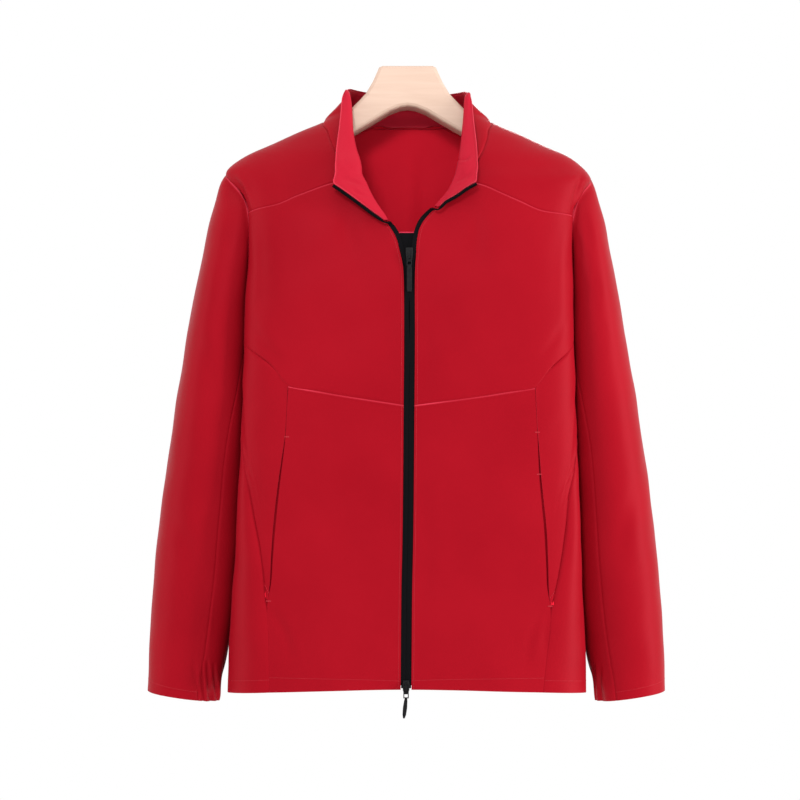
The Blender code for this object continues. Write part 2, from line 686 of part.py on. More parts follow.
def lower_front(name, material, collection):
    foot = POCKET_FOOT[name]
    corner = POCKET_SEAM[name][0].height
    outer = join_lines(pocket_seam(name, corner, foot, SIDE_FRONT_UP),
                       pocket_seam(name, foot, POCKET_SEAM[name][-1].height, SIDE_PANEL_BELOW))
    inner = zip_edge(name, CHEST_SEAM[name][0].height, HEM_FRONT, len(outer) - 1)
    top = chest_seam(name)[0]
    outer[-1, 1] = hem_height(outer[-1, 0])
    bottom = hem_line(inner[-1, 0], outer[-1, 0], CHEST_ACROSS[0])
    bottom[:, 0] = smooth_curve([0, 1], [inner[-1, 0], outer[-1, 0]])(np.linspace(0, 1, len(bottom)))
    places = patch(top, bottom, inner, outer)
    return cloth_on_body("lower_front_" + name, places, material, collection)


def pocket_gape(height, foot):
    """The side front stands off the lower front along the pocket opening."""
    along = (POCKET_TOP - height) / (POCKET_TOP - foot)
    inside = (along > 0) & (along < 1)
    return np.where(inside, POCKET_GAPE * np.sin(np.pi * np.clip(along, 0, 1)) ** 0.7, 0)


def side_front(name, material, collection):
    side = SIDES[name]
    foot = POCKET_FOOT[name]
    corner = POCKET_SEAM[name][0].height
    inner = pocket_seam(name, corner, foot, SIDE_FRONT_UP)
    opened = inner.copy()
    for place in opened:
        out = abs(body_point(place[0], place[1])[0]) + pocket_gape(place[1], foot)
        place[0] = turn_at(side * out, place[1])
    armhole = armhole_line(name, CHEST_AT_ARMHOLE, SIDE_AT_ARMHOLE, 2)
    rows = rows_on_body(side, SIDE_FRONT_SEAM[name])
    rows[0] = tuple(armhole[-1])
    outer = join_lines(armhole, seam_line(rows, SIDE_FRONT_UP - 2))
    top = chest_seam(name)[1]
    top[-1] = armhole[0]
    bottom = np.linspace(opened[-1], outer[-1], CHEST_ACROSS[1] + 1)
    places = patch(top, bottom, opened, outer, fade=3)
    return cloth_on_body("side_front_" + name, places, material, collection)


def side_back_line(name):
    rows = rows_on_body(SIDES[name], SIDE_BACK_SEAM)
    rows[0] = armhole_place(name, 360 - SIDE_AT_ARMHOLE)
    line = seam_line(rows, SIDE_FRONT_UP - 2 + SIDE_PANEL_BELOW)
    line[-1, 1] = hem_height(line[-1, 0])
    return line


def side_panel(name, material, collection):
    side = SIDES[name]
    rows = rows_on_body(side, SIDE_FRONT_SEAM[name])
    rows[0] = armhole_place(name, SIDE_AT_ARMHOLE)
    above = seam_line(rows, SIDE_FRONT_UP - 2)
    below = pocket_seam(name, POCKET_FOOT[name], POCKET_SEAM[name][-1].height, SIDE_PANEL_BELOW)
    below[-1, 1] = hem_height(below[-1, 0])
    front = np.concatenate([above, below[1:]])
    back = side_back_line(name)
    top = armhole_line(name, SIDE_AT_ARMHOLE, 360 - SIDE_AT_ARMHOLE, SIDE_PANEL_ACROSS)
    top[0] = front[0]
    top[-1] = back[0]
    bottom = hem_line(front[-1, 0], back[-1, 0], SIDE_PANEL_ACROSS)
    places = patch(top, bottom, front, back)
    return cloth_on_body("side_panel_" + name, places, material, collection)


def spaced(points, corner):
    """Smooth line through points with a corner at one of them."""
    points = np.asarray(points, float)
    lines = []
    for part in (points[:corner + 1], points[corner:]):
        if len(part) > 1:
            knots = np.arange(len(part))
            at = np.linspace(0, len(part) - 1, (len(part) - 1) * COLLAR_STEPS + 1)
            curves = [smooth_curve(knots, part[:, axis])(at) for axis in range(part.shape[1])]
            lines.append(np.stack(curves, axis=-1))
    return join_lines(*lines)


def neck_height(name):
    """Height of the neck seam by the turn round the neck, from the yoke's front corner."""
    turns = [abs(turn_at(SIDES[name] * row.out, row.height)) for row in NECK[name]]
    heights = [row.height for row in NECK[name]]
    return smooth_curve(turns + [90, YOKE_BACK[0].turn, 180],
                        heights + [NECK_SHOULDER, NECK_BACK, NECK_BACK])


def neck_line(name):
    """Neck seam from the yoke's front corner to the centre back, a point per section."""
    side = SIDES[name]
    feet = [(float(turn_at(side * row.out, row.height)), row.height) for row in NECK[name]]
    curve = neck_height(name)
    feet += [(side * turn, float(curve(turn))) for turn in COLLAR_FOOT_TURN]
    return spaced(feet, len(feet) - 1)


def yoke_back_seam(name, count):
    rows = rows_on_body(SIDES[name], YOKE_BACK)
    rows[-1] = armhole_place(name, 360 - YOKE_AT_ARMHOLE)
    return seam_line(rows, count)


def yoke(name, material, collection):
    front = yoke_front_seam(name)
    neck = neck_line(name)[:-COLLAR_STEPS]
    neck[0] = front[0]
    back = yoke_back_seam(name, len(front) - 1)
    neck[-1] = back[0]
    half = (len(neck) - 1) // 2
    arm = join_lines(armhole_line(name, YOKE_AT_ARMHOLE, 0, half),
                     armhole_line(name, 360, 360 - YOKE_AT_ARMHOLE, len(neck) - 1 - half))
    arm[0] = front[-1]
    arm[-1] = back[-1]
    places = patch(neck, arm, front, back)
    return cloth_on_body("yoke_" + name, places, material, collection)


def back_panel(material, collection):
    """From one side seam across the back to the other, turns counted from 0 to 360."""
    sides = {}
    shoulders = {}
    for name in SIDES:
        side_line = side_back_line(name)[::-1]
        armhole = armhole_line(name, 360 - SIDE_AT_ARMHOLE, 360 - YOKE_AT_ARMHOLE, BACK_ARMHOLE)
        seam = yoke_back_seam(name, sum(CHEST_ACROSS))[::-1]
        side_line[-1] = armhole[0]
        armhole[-1] = seam[0]
        shoulder = join_lines(armhole, seam)
        side_line[:, 0] %= 360
        shoulder[:, 0] %= 360
        sides[name] = side_line
        shoulders[name] = shoulder
    halves = {name: neck_line(name)[-COLLAR_STEPS - 1:] for name in SIDES}
    for half in halves.values():
        half[:, 0] %= 360
    neck = join_lines(halves["left"], halves["right"][::-1])
    top = join_lines(shoulders["left"], neck, shoulders["right"][::-1])
    bottom = hem_line(sides["left"][0, 0], sides["right"][0, 0], len(top) - 1)
    places = patch(bottom, top, sides["left"], sides["right"])
    return cloth_on_body("back", places, material, collection)


def pocket_facing(name, material, collection):
    """Strip of cloth that closes the pocket opening from behind."""
    side = SIDES[name]
    foot = POCKET_FOOT[name]
    middle = pocket_seam(name, POCKET_TOP + 8, foot + 4, 10)
    lines = []
    for offset in (-0.5, -0.1, 0.25):
        line = middle.copy()
        for place in line:
            out = abs(body_point(place[0], place[1])[0]) + offset * POCKET_WIDTH
            place[0] = turn_at(side * out, place[1])
        lines.append(line)
    places = np.array(lines)
    return cloth_on_body("pocket_" + name, places, material, collection,
                         depth=CLOTH + 1.5, wall=POCKET_WALL)


# ---------------------------------------------------------------- sleeves

sleeve_curves = {name: column_curve(SLEEVE, name) for name in SleeveRow._fields[1:]}
CAP_REACH = 60         # the sleeve is eased onto the armhole over this length


def sleeve_section(name, height):
    """Middle x, half width, middle y and half depth of the sleeve at a height."""
    outside = sleeve_curves[name](height)
    inside = body_curves[name](height) - sleeve_curves["tuck"](height)
    return ((outside + inside) / 2, (outside - inside) / 2,
            sleeve_curves["middle"](height), sleeve_curves["half_depth"](height))


def sleeve_form(name, turn, height):
    """Sleeve's tube: turn 0 is the outer side, 90 the front, 180 the body side."""
    middle_x, half, middle_y, depth = sleeve_section(name, height)
    angle = np.radians(turn)
    radius = section_radius(angle, SLEEVE_SQUARE)
    x = middle_x + half * radius * np.cos(angle)
    y = middle_y - depth * radius * np.sin(angle)
    return np.stack([SIDES[name] * x, y, height + 0 * x], axis=-1)


def turn_on_sleeve(name, place):
    """Turn round the sleeve of a point at its height."""
    middle_x, half, middle_y, depth = sleeve_section(name, place[..., 2])
    across = (SIDES[name] * place[..., 0] - middle_x) / half
    before = (middle_y - place[..., 1]) / depth
    return np.degrees(np.arctan2(before, across)) % 360


CUFF_TURNS = smooth_curve(
    [0, SIDE_AT_ARMHOLE - 20, 180, 209, 360],
    [0, SEAM_TURN_CUFF[0], 180, SEAM_TURN_CUFF[1], 360])
DRIFT_LENGTH = 190     # over this length the columns spread evenly round the sleeve
SLEEVE_CLEAR = 1.2     # the sleeve hangs this far off the body's side


def clear_of_body(name, points, fallen):
    """Moves points of the sleeve outwards until they hang clear of the body."""
    side = SIDES[name]
    height = np.maximum(points[..., 2], -799)
    depth = np.clip(points[..., 1], -62, 64)
    turn = turn_at_depth(side, depth, height)
    ramp = ease(fallen / 14)
    limit = side * body_point(turn, height)[..., 0] + SLEEVE_CLEAR * ramp
    short = limit - side * points[..., 0]
    soft = 3.0 * ramp + 0.01
    bump = np.where(short > soft, short, np.where(short > -soft, (short + soft) ** 2 / 4 / soft, 0))
    moved = points.copy()
    moved[..., 0] += side * bump
    return moved


def cuff_height(name, turn):
    """The cuff's edge is square to the sloping sleeve, so its inner side is lower."""
    inner_part = (1 - np.cos(np.radians(turn))) / 2
    return CUFF_OUTER + (CUFF_INNER - CUFF_OUTER) * inner_part


def gather(turn, height):
    """Waves of the elastic in the under-sleeve's cuff."""
    low, high = SEAM_TURN_CUFF
    across = (turn - low) / (high - low)
    inside = (across > 0) & (across < 1)
    swell = np.where(inside, np.sin(np.pi * np.clip(across, 0, 1)) ** 0.5, 0)
    drop = ease((GATHER_TOP - height) / 26)
    return GATHER_DEPTH * swell * drop * np.sin(2 * np.pi * GATHER_WAVES * across)


def elbow_fold(turn, height):
    """Two soft creases on the body side of the elbow."""
    crease = 0
    for offset, depth in ((0, -2.2), (-46, -1.6)):
        away = (height - ELBOW_HEIGHT - offset - 12 * np.cos(np.radians(turn))) / 16
        crease = crease + depth * np.exp(-away ** 2)
    return crease * (1 - np.cos(np.radians(turn - 70))) / 2


def sleeve_point(name, around, down, armhole):
    """Outer face of the sleeve. around: turn round the armhole; down: 0 to 1."""
    start = armhole(around)
    first_turn = turn_on_sleeve(name, start)
    first_turn = np.where((around > 300) & (first_turn < 60), first_turn + 360, first_turn)
    first_turn = np.where((around < 60) & (first_turn > 300), first_turn - 360, first_turn)
    last_turn = CUFF_TURNS(around)
    top = start[..., 2]
    bottom = cuff_height(name, last_turn)
    height = top + (bottom - top) * down
    fallen = top - height
    drift = 1 - (1 - np.clip(fallen / DRIFT_LENGTH, 0, 1)) ** 2
    turn = first_turn + (last_turn - first_turn) * drift
    form = sleeve_form(name, turn, height)
    miss = start - sleeve_form(name, first_turn, top)
    easing = (1 - ease(fallen / CAP_REACH))[..., None]
    middle_x, _, middle_y, _ = sleeve_section(name, height)
    outwards = form - np.stack([SIDES[name] * middle_x, middle_y + 0 * middle_x, height], axis=-1)
    outwards = outwards / np.linalg.norm(outwards, axis=-1, keepdims=True)
    relief = (gather(turn, height) + elbow_fold(turn, height)) * (1 - easing[..., 0])
    return clear_of_body(name, form + miss * easing + outwards * relief[..., None], fallen)


def armhole_finder(name):
    """Function that gives the armhole's place on the body for turns round it."""
    turns = np.linspace(0, 360, 73)
    places = np.array([armhole_place(name, turn) for turn in turns])
    points = body_point(places[:, 0], places[:, 1])
    curves = [smooth_curve(turns, points[:, axis]) for axis in range(3)]

    def armhole(around):
        return np.stack([curve(around) for curve in curves], axis=-1)

    return armhole


SLEEVE_DOWN = np.array([0, 0.018, 0.045, 0.085, 0.14, 0.2, 0.27, 0.35, 0.43, 0.49, 0.54, 0.59,
                        0.67, 0.76, 0.85, 0.92, 0.955, 0.975, 1.0])
MAIN_AROUND = np.array([-148, -128, -104, -80, -58, -40, -26, -13, 0, 13, 26, 40, 58, 80, 104,
                        128, 150])
UNDER_AROUND = np.linspace(150, 212, 13)
SLEEVE_GAP = 0.4
SLEEVE_OFF = 0.6       # the folded-back part of the seam stands off the body by this


def sleeve_piece(node, name, around, material, collection):
    armhole = armhole_finder(name)
    grid_around = (around % 360)[:, None] + 0 * SLEEVE_DOWN[None]
    grid_down = SLEEVE_DOWN[None] + 0 * grid_around

    def face(da, dd):
        return sleeve_point(name, (grid_around + da) % 360, np.clip(grid_down + dd, 0, 1), armhole)

    points = face(0, 0)
    span_around = face(0.4, 0) - face(-0.4, 0)
    span_down = face(0, 0.002) - face(0, -0.002)
    normal = np.cross(span_around, span_down) * SIDES[name]
    normal = normal / np.linalg.norm(normal, axis=-1, keepdims=True)
    places = np.array([armhole_place(name, turn % 360) for turn in around])
    on_body = body_normal(places[:, 0], places[:, 1])
    drawn_in = inset(points, SEAM_GAP)
    away = points[:, 1] - points[:, 0]
    away = away / np.linalg.norm(away, axis=-1, keepdims=True)
    over = (np.cos(np.radians(around)) > 0.2) & (np.sum(away * on_body, axis=-1) < 0)
    normal[:, 0] = np.where(over[:, None], on_body, normal[:, 0])
    folded_back = ease((np.degrees(np.arccos(np.cos(np.radians(around)))) - 30) / 40)
    drawn_in[:, 0] = drawn_in[:, 0] + away * (SLEEVE_GAP - SEAM_GAP / 2)
    drawn_in[:, 0] = drawn_in[:, 0] + on_body * (SLEEVE_OFF * folded_back)[:, None]
    mesh = wall_mesh(node, drawn_in, drawn_in - CLOTH * normal)
    return add_object(node, mesh, material, collection)


# ---------------------------------------------------------------- collar

ROLL_ROUND = 3.0       # radius of the visible face where the cloth turns over
FLAP_BULGE = 0.05      # the turned-out cloth bows forward by this part of its width
ROLL_WALL = 1.4        # the cloth is squeezed where it turns over
SECTION = np.array([0, 1, 2, 2.5, 3, 3.5, 4, 5, 6])


def unit(vector):
    return vector / (np.linalg.norm(vector, axis=-1, keepdims=True) + 1e-9)


def collar_seam(name):
    """Turn and height of the seam under each section, front tip first."""
    side = SIDES[name]
    edge = [(turn_at(side * row.out, row.height), row.height) for row in EDGE[name]]
    turn_by_height = smooth_curve([place[1] for place in edge], [place[0] for place in edge])
    heights = list(COLLAR_EDGE_HEIGHT[name]) + [NECK[name][0].height]
    front = [(turn_by_height(height), height) for height in heights]
    return join_lines(spaced(front, len(front) - 1), neck_line(name))


def collar_half(name):
    """Half of the collar: its section lines and its normals where it turns over."""
    side = np.array([SIDES[name], 1, 1])
    corner = (len(COLLAR_FRONT_RIM[name]) - 1) * COLLAR_STEPS
    seam = collar_seam(name)
    seat = body_point(seam[:, 0], seam[:, 1])
    normal = body_normal(seam[:, 0], seam[:, 1])
    inwards = unit(np.cross(normal, np.gradient(seat, axis=0)) * SIDES[name])
    centre = seat + 1.5 * inwards + (ROLL_ROUND - CLOTH) * normal
    roll = centre + ROLL_ROUND * inwards
    standing = [roll[corner]] + [np.array(row.roll) * side for row in COLLAR_BACK[name]]
    roll[corner:] = spaced(standing, len(standing) - 1)
    rims = list(COLLAR_FRONT_RIM[name]) + [row.rim for row in COLLAR_BACK[name]]
    rim = spaced([np.array(place) * side for place in rims], len(COLLAR_FRONT_RIM[name]) - 1)
    fronts = (np.arange(len(seat)) <= corner)[:, None]
    toward = np.where(fronts, inwards, across_to(roll - seat, normal))
    foot = seat + COLLAR_FOOT_GAP * toward - CLOTH * normal
    to_foot = np.where(fronts, -inwards, unit(foot - roll))
    to_rim = unit(rim - roll)
    bisector = unit(to_foot + to_rim)
    half_fold = np.sqrt(np.clip((1 + np.sum(to_foot * to_rim, axis=-1, keepdims=True)) / 2, 0, 1))
    spread = unit(to_rim - to_foot)
    across = spread * half_fold
    behind = np.where(fronts, centre - ROLL_ROUND * normal,
                      roll + ROLL_ROUND * to_foot - ROLL_ROUND * across)
    before = np.where(fronts, centre + ROLL_ROUND * normal,
                      roll + ROLL_ROUND * to_rim + ROLL_ROUND * across)
    faces = [-normal,
             np.where(fronts, -normal, -across_to(spread, to_foot)),
             np.where(fronts, inwards, -bisector),
             np.where(fronts, across_to(normal, unit(rim - before)), across_to(spread, to_rim))]
    folded = np.where(fronts, 1.0, ease((half_fold - 0.35) / 0.35))
    return [foot, behind, roll, before, rim] + faces + [folded]


def across_to(vector, line):
    """Unit part of a vector that is square to a line."""
    return unit(vector - line * np.sum(vector * line, axis=-1, keepdims=True))


def collar_face():
    """Visible face of the collar from the right tip round to the left one, and normals."""
    halves = [collar_half(name) for name in ("right", "left")]
    whole = [np.concatenate([right, left[::-1][1:]]) for right, left in zip(*halves)]
    foot, behind, roll, before, rim = whole[:5]
    at_foot, at_behind, at_roll, at_before, folded = whole[5:]
    bow = unit(np.cross(np.gradient(roll, axis=0), rim - roll))
    high = (before + rim) / 2 + FLAP_BULGE * np.linalg.norm(rim - before, axis=-1, keepdims=True) * bow
    controls = np.stack([foot, (foot + behind) / 2, behind, roll, before, high, rim], axis=1)
    face = np.zeros((len(foot), len(SECTION), 3))
    for k in range(len(foot)):
        for axis in range(3):
            face[k, :, axis] = smooth_curve(np.arange(7), controls[k, :, axis])(SECTION)
    normal = unit(np.cross(np.gradient(face, axis=0), np.gradient(face, axis=1)))
    turned = [at_foot, at_foot + at_behind, at_behind, unit(at_behind) + at_roll, at_roll,
              at_roll + at_before, at_before]
    for k, vector in enumerate(turned):
        normal[:, k] = unit(normal[:, k] * (1 - folded) + unit(vector) * folded)
    normal[:, 0] = at_foot
    return face, normal


def rim_tape(name):
    """Sewn and free side of the tape along the collar's rim, from the tip to the corner."""
    face, normal = collar_face()
    if name == "left":
        face, normal = face[::-1], normal[::-1]
    last = (len(COLLAR_FRONT_RIM[name]) - 1) * COLLAR_STEPS
    columns = np.arange(COLLAR_STEPS, last + 1, COLLAR_STEPS)
    along = unit(np.gradient(face[:, -1], axis=0))[columns]
    along[-1] = unit(face[last, -1] - face[last - 1, -1])
    front = unit(normal[columns, -1] - along * np.sum(normal[columns, -1] * along, axis=-1,
                                                      keepdims=True))
    down = np.cross(along, front) * SIDES[name]
    edge = face[columns, -1] + 0.55 * down - 1.5 * front
    free = edge + RIM_TAPE_WIDE * unit(0.8 * down - 0.6 * front)
    return edge, free


def collar(material, collection):
    face, normal = collar_face()
    wall = np.where((SECTION > 1) & (SECTION < 5), ROLL_WALL, CLOTH)[None, :, None]
    mesh = wall_mesh("collar", face, face - wall * normal)
    return add_object("collar", mesh, material, collection)


# ---------------------------------------------------------------- zip

def face_at(x, height, sunk):
    """Point this far under the face of the fronts."""
    turn = turn_at(x, height)
    return body_point(turn, height) - sunk * body_normal(turn, height)


def tape_lines(name):
    """Sewn side and free side of the tape, from the hem to the collar's corner."""
    side = SIDES[name]
    edge, free = [], []
    for height in np.linspace(HEM_FRONT + 2, TAPE_PARTS_AT, 13):
        middle = float(zip_middle(height))
        edge.append(face_at(middle + side * ZIP_HALF, height, TAPE_SUNK))
        free.append(face_at(middle + side * SEAM_GAP / 2, height, TAPE_SUNK))
    opened = open_edge(name)[::-1][1:]
    opened = opened[opened[:, 1] < TAPE_TIP[name]]
    heights = opened[:, 1]
    outs = body_point(opened[:, 0], heights)[:, 0]
    slope = np.gradient(outs, heights)
    for height, out, lean in zip(heights, outs, slope):
        along = np.array([lean, 0, 1]) / np.hypot(lean, 1)
        toward = np.array([-along[2], 0, along[0]]) * side
        spread = ease((height - TAPE_PARTS_AT) / 14)
        start = np.array([out, 0, height]) + TAPE_GAP * toward
        end = start + (TAPE_OPEN + (ZIP_HALF - TAPE_OPEN) * (1 - spread)) * toward
        middle = float(zip_middle(height)) + side * SEAM_GAP / 2
        if side * (end[0] - middle) < 0:
            end[0] = middle
        edge.append(face_at(start[0], start[2], TAPE_SUNK))
        free.append(face_at(end[0], end[2], TAPE_SUNK))
    sign = np.array([side, 1, 1])
    for row in TAPE_TURN[name]:
        edge.append(np.array(row.edge) * sign)
        free.append(np.array(row.free) * sign)
    rim_edge, rim_free = rim_tape(name)
    return np.concatenate([edge, rim_edge]), np.concatenate([free, rim_free])


def through(points, steps):
    """Smooth line through points, with more steps where asked."""
    knots = np.arange(len(points))
    at = [0.0]
    for k, count in enumerate(steps):
        at.extend(k + (np.arange(count) + 1) / count)
    return np.stack([smooth_curve(knots, points[:, axis])(at) for axis in range(3)], axis=-1)


def zip_tape(name, material, collection):
    edge, free = tape_lines(name)
    steps = [1] * (len(edge) - 9) + [3] * 4 + [2] * 4
    edge = through(edge, steps)
    free = through(free, steps)
    along = np.gradient((edge + free) / 2, axis=0)
    normal = unit(np.cross(along, free - edge)) * -SIDES[name]
    face = np.stack([edge, (edge + free) / 2 - TAPE_CROWN * normal, free], axis=1)
    back = face + TAPE_WALL * normal[:, None]
    return add_object("zip_tape_" + name, wall_mesh("zip_tape_" + name, face, back), material,
                      collection)


def zip_guard(material, collection):
    right = [(turn_at(-row.right, row.height), row.height) for row in GUARD]
    left = [(turn_at(row.left, row.height), row.height) for row in GUARD]
    return cloth_on_body("zip_guard", np.array([right, left], float), material, collection,
                         depth=GUARD_DEPTH, wall=GUARD_WALL)


# ---------------------------------------------------------------- hard pieces

def draw_in(outline, distance):
    """Closed outline (anticlockwise) moved inwards by a distance."""
    points = np.asarray(outline, float)
    before = unit(points - np.roll(points, 1, axis=0))
    after = unit(np.roll(points, -1, axis=0) - points)
    left_before = np.stack([-before[:, 1], before[:, 0]], axis=-1)
    left_after = np.stack([-after[:, 1], after[:, 0]], axis=-1)
    mitre = unit(left_before + left_after)
    stretch = 1 / np.clip(np.sum(mitre * left_after, axis=-1, keepdims=True), 0.6, 1)
    return points + distance * mitre * stretch


def slab_form(outline, front, back, rounding):
    """Plate with the outline in X and Z between two depths, with rounded edges."""
    area = sum(a[0] * b[1] - a[1] * b[0] for a, b in zip(outline, outline[1:] + outline[:1]))
    if area < 0:
        outline = outline[::-1]
    rings = [(front + away, inwards) for away, inwards in rounding]
    rings += [(back - away, inwards) for away, inwards in rounding[::-1]]
    form = bmesh.new()
    loops = []
    for depth, inwards in rings:
        points = draw_in(outline, inwards)
        loops.append([form.verts.new((x * MM, depth * MM, z * MM)) for x, z in points])
    count = len(outline)
    for near, far in zip(loops, loops[1:]):
        for k in range(count):
            after = (k + 1) % count
            form.faces.new((near[k], near[after], far[after], far[k]))
    form.faces.new(loops[0][::-1])
    form.faces.new(loops[-1])
    bmesh.ops.recalc_face_normals(form, faces=form.faces)
    return form


def finish_form(name, form, material, collection):
    bmesh.ops.triangulate(form, faces=[face for face in form.faces if len(face.verts) > 4])
    mesh = bpy.data.meshes.new(name)
    form.to_mesh(mesh)
    form.free()
    return add_object(name, mesh, material, collection)


def mirrored(rows, scale_height=1.0, centre=0.0, foot=0.0, lean=0.0):
    """Closed outline from the rows of one half, with its middle and lean."""
    half = [(row.out, foot + row.height * scale_height, row.height * lean) for row in rows]
    right = [(centre + shift - out, height) for out, height, shift in half]
    left = [(centre + shift + out, height) for out, height, shift in half]
    return right + left[::-1]


def join_parts(base, others):
    """Union of the base with the others, which are used up."""
    for other in others:
        union = base.modifiers.new("union", "BOOLEAN")
        union.operation = "UNION"
        union.solver = "EXACT"
        union.object = other
    bpy.context.view_layer.update()
    graph = bpy.context.evaluated_depsgraph_get()
    mesh = bpy.data.meshes.new_from_object(base.evaluated_get(graph))
    base.modifiers.clear()
    base.data = mesh
    for other in others:
        bpy.data.objects.remove(other, do_unlink=True)
    return base


def box_form(low, high):
    form = bmesh.new()
    bmesh.ops.create_cube(form, size=1.0)
    low = np.array(low)
    high = np.array(high)
    for vert in form.verts:
        vert.co = ((low + high) / 2 + (high - low) * np.array(vert.co)) * MM
    return form


EDGE_ROUND = [(0.0, 0.5), (0.5, 0.0)]


def slider_front(height):
    """y of the face that the slider lies on, and of the slider's own face."""
    laid_on = float(body_point(0.0, height)[1]) + TAPE_SUNK - SLIDER_GAP
    return laid_on, laid_on - SLIDER_THICK


def slider(end, material, collection):
    row = PULLS[end]
    laid_on, front = slider_front(row.axis_height)
    middle = float(zip_middle(row.axis_height))
    outline = mirrored(SLIDER_OUTLINE[end], centre=middle, foot=row.axis_height)
    name = "slider_" + end
    plate = finish_form(name, slab_form(outline, front, laid_on, EDGE_ROUND), material, collection)
    half = BRIDGE_WIDE / 2
    reach = BRIDGE_LONG / 2
    low, high = row.axis_height - reach, row.axis_height + reach
    top = front - BRIDGE_RISE
    pieces = [
        box_form((middle - half, top, low), (middle + half, top + BRIDGE_WALL, high)),
        box_form((middle - half, top + 0.4, low), (middle + half, front + 0.5, low + BRIDGE_WALL)),
        box_form((middle - half, top + 0.4, high - BRIDGE_WALL), (middle + half, front + 0.5, high)),
    ]
    parts = [finish_form("bridge", form, material, collection) for form in pieces]
    return join_parts(plate, parts)


def pull(end, material, collection):
    """Link and tab in one; the origin is the middle of the link's top bar."""
    row = PULLS[end]
    front = slider_front(row.axis_height)[1]
    axis_y = front - (BRIDGE_RISE - BRIDGE_WALL) / 2
    middle = float(zip_middle(row.axis_height))
    half = LINK_WIDE / 2
    bar = LINK_BAR / 2
    long = row.link_long
    bars = [
        box_form((-half, -bar, -bar), (half, bar, bar)),
        box_form((-half, -bar, -long), (-half + LINK_BAR, bar, 0)),
        box_form((half - LINK_BAR, -bar, -long), (half, bar, 0)),
        box_form((-half, -bar, -long - bar), (half, bar, -long + bar)),
    ]
    parts = [finish_form("bar", form, material, collection) for form in bars]
    outline = mirrored(TAB_OUTLINE[end], scale_height=-row.tab_long, foot=-long, lean=row.lean)
    tab = slab_form(outline, -PULL_WALL / 2, PULL_WALL / 2, EDGE_ROUND)
    whole = join_parts(finish_form("pull_" + end, tab, material, collection), parts)
    whole.location = (middle * MM, axis_y * MM, row.axis_height * MM)
    return whole


def hanger(material, collection):
    right = [(-row.out, row.height) for row in HANGER[1:-1]]
    outline = [(0.0, HANGER[0].height)] + [(row.out, row.height) for row in HANGER[1:-1]]
    outline += [(0.0, HANGER[-1].height)] + right[::-1]
    half = HANGER_DEPTH / 2
    form = slab_form(outline, -half, half, HANGER_ROUND)
    return finish_form("hanger", form, material, collection)


# ---------------------------------------------------------------- set-up

def clear_scene():
    for piece in list(bpy.data.objects):
        bpy.data.objects.remove(piece, do_unlink=True)


def build():
    clear_scene()
    collection = bpy.data.collections.new("hiking_jacket_on_hanger")
    bpy.context.scene.collection.children.link(collection)
    red = make_material("red_softshell", RED, 0.62)
    black = make_material("black_zip_tape", BLACK, 0.55)
    metal = make_material("gunmetal", GUNMETAL, 0.35, 0.9)
    beech = make_material("pale_beech", BEECH, 0.5)
    for name in SIDES:
        chest_panel(name, red, collection)
        lower_front(name, red, collection)
        side_front(name, red, collection)
        side_panel(name, red, collection)
        yoke(name, red, collection)
        pocket_facing(name, red, collection)
        sleeve_piece("sleeve_" + name, name, MAIN_AROUND, red, collection)
        sleeve_piece("undersleeve_" + name, name, UNDER_AROUND, red, collection)
        zip_tape(name, black, collection)
    back_panel(red, collection)
    collar(red, collection)
    zip_guard(black, collection)
    for end in PULLS:
        slider(end, metal, collection)
        pull(end, metal, collection)
    hanger(beech, collection)


build()
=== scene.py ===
"""Looks of a hiking jacket that hangs on a wooden hanger.

Each cloth piece is cut again as a fine shell on the form of its own solid, then gets
the slack, creases and seams of worn cloth. Sizes here are in millimetres unless a
comment says otherwise, and MM turns them into the frame's metres. X points to the
wearer's left, Y to the back and Z up, from the middle of the hanger's top.
"""

from collections import namedtuple

import bmesh
import bpy
import numpy as np
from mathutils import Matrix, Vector


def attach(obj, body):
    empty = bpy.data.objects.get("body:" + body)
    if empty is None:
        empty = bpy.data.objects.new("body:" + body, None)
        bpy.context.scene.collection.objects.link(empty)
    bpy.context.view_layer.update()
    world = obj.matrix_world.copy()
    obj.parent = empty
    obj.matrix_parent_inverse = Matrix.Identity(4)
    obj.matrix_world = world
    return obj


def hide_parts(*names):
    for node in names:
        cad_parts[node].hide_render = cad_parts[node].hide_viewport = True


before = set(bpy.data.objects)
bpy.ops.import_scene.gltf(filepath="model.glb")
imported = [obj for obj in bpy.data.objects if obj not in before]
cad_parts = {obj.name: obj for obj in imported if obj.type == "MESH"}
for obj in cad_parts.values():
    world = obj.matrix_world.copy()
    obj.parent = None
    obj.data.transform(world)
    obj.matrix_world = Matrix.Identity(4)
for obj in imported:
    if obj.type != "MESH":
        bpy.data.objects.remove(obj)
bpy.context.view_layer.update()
MM = 0.001


# ---------------------------------------------------------------- the back
# The back is one cut of the red softshell, from the side seams to the yoke seam. It is
# sewn first, and every other cut is sewn to it or to its neighbours. The functions that
# lay a cut out, crease it and give it its wall are here, with the cloth's finish.

CLOTH = 1.8                 # wall of the bonded softshell
EDGE_LINES = (0.0, 0.5, 1.1, 1.8, 2.8)   # lines of points beside each cut edge
TURNED = (-2.6, -1.3, -0.5)              # lines of the cloth that is turned in at a seam
TURNED_WALL = 0.4           # share of its wall that the turned cloth keeps
SEAM_SINK = 0.70            # the cloth goes in towards its seam by this much
SEAM_REACH = 1.2
SEAM_SLOPE = 0.75           # and past the seam it falls this much a millimetre
FLUSH_OVER = 14             # a seam that becomes flush does so over this height
WELT = (0.50, 1.5, 0.8)     # height, place and width of the roll beside a pressed seam
SEAM_HIGHLIGHT = (0.7, 0.75)        # place and width of the paler line painted on that roll as a highlight
SEAM_HIGHLIGHT_BY = (0.58, 0.24, 23, 41)   # how pale that painted highlight is, how much that varies, and over what lengths
LIFT = (1.35, 3.0)          # height and reach of the roll of a sleeve's head at the armhole
LIFT_FACED = (0.45, 0.35)   # how far the cloth faces front or back where the roll grows
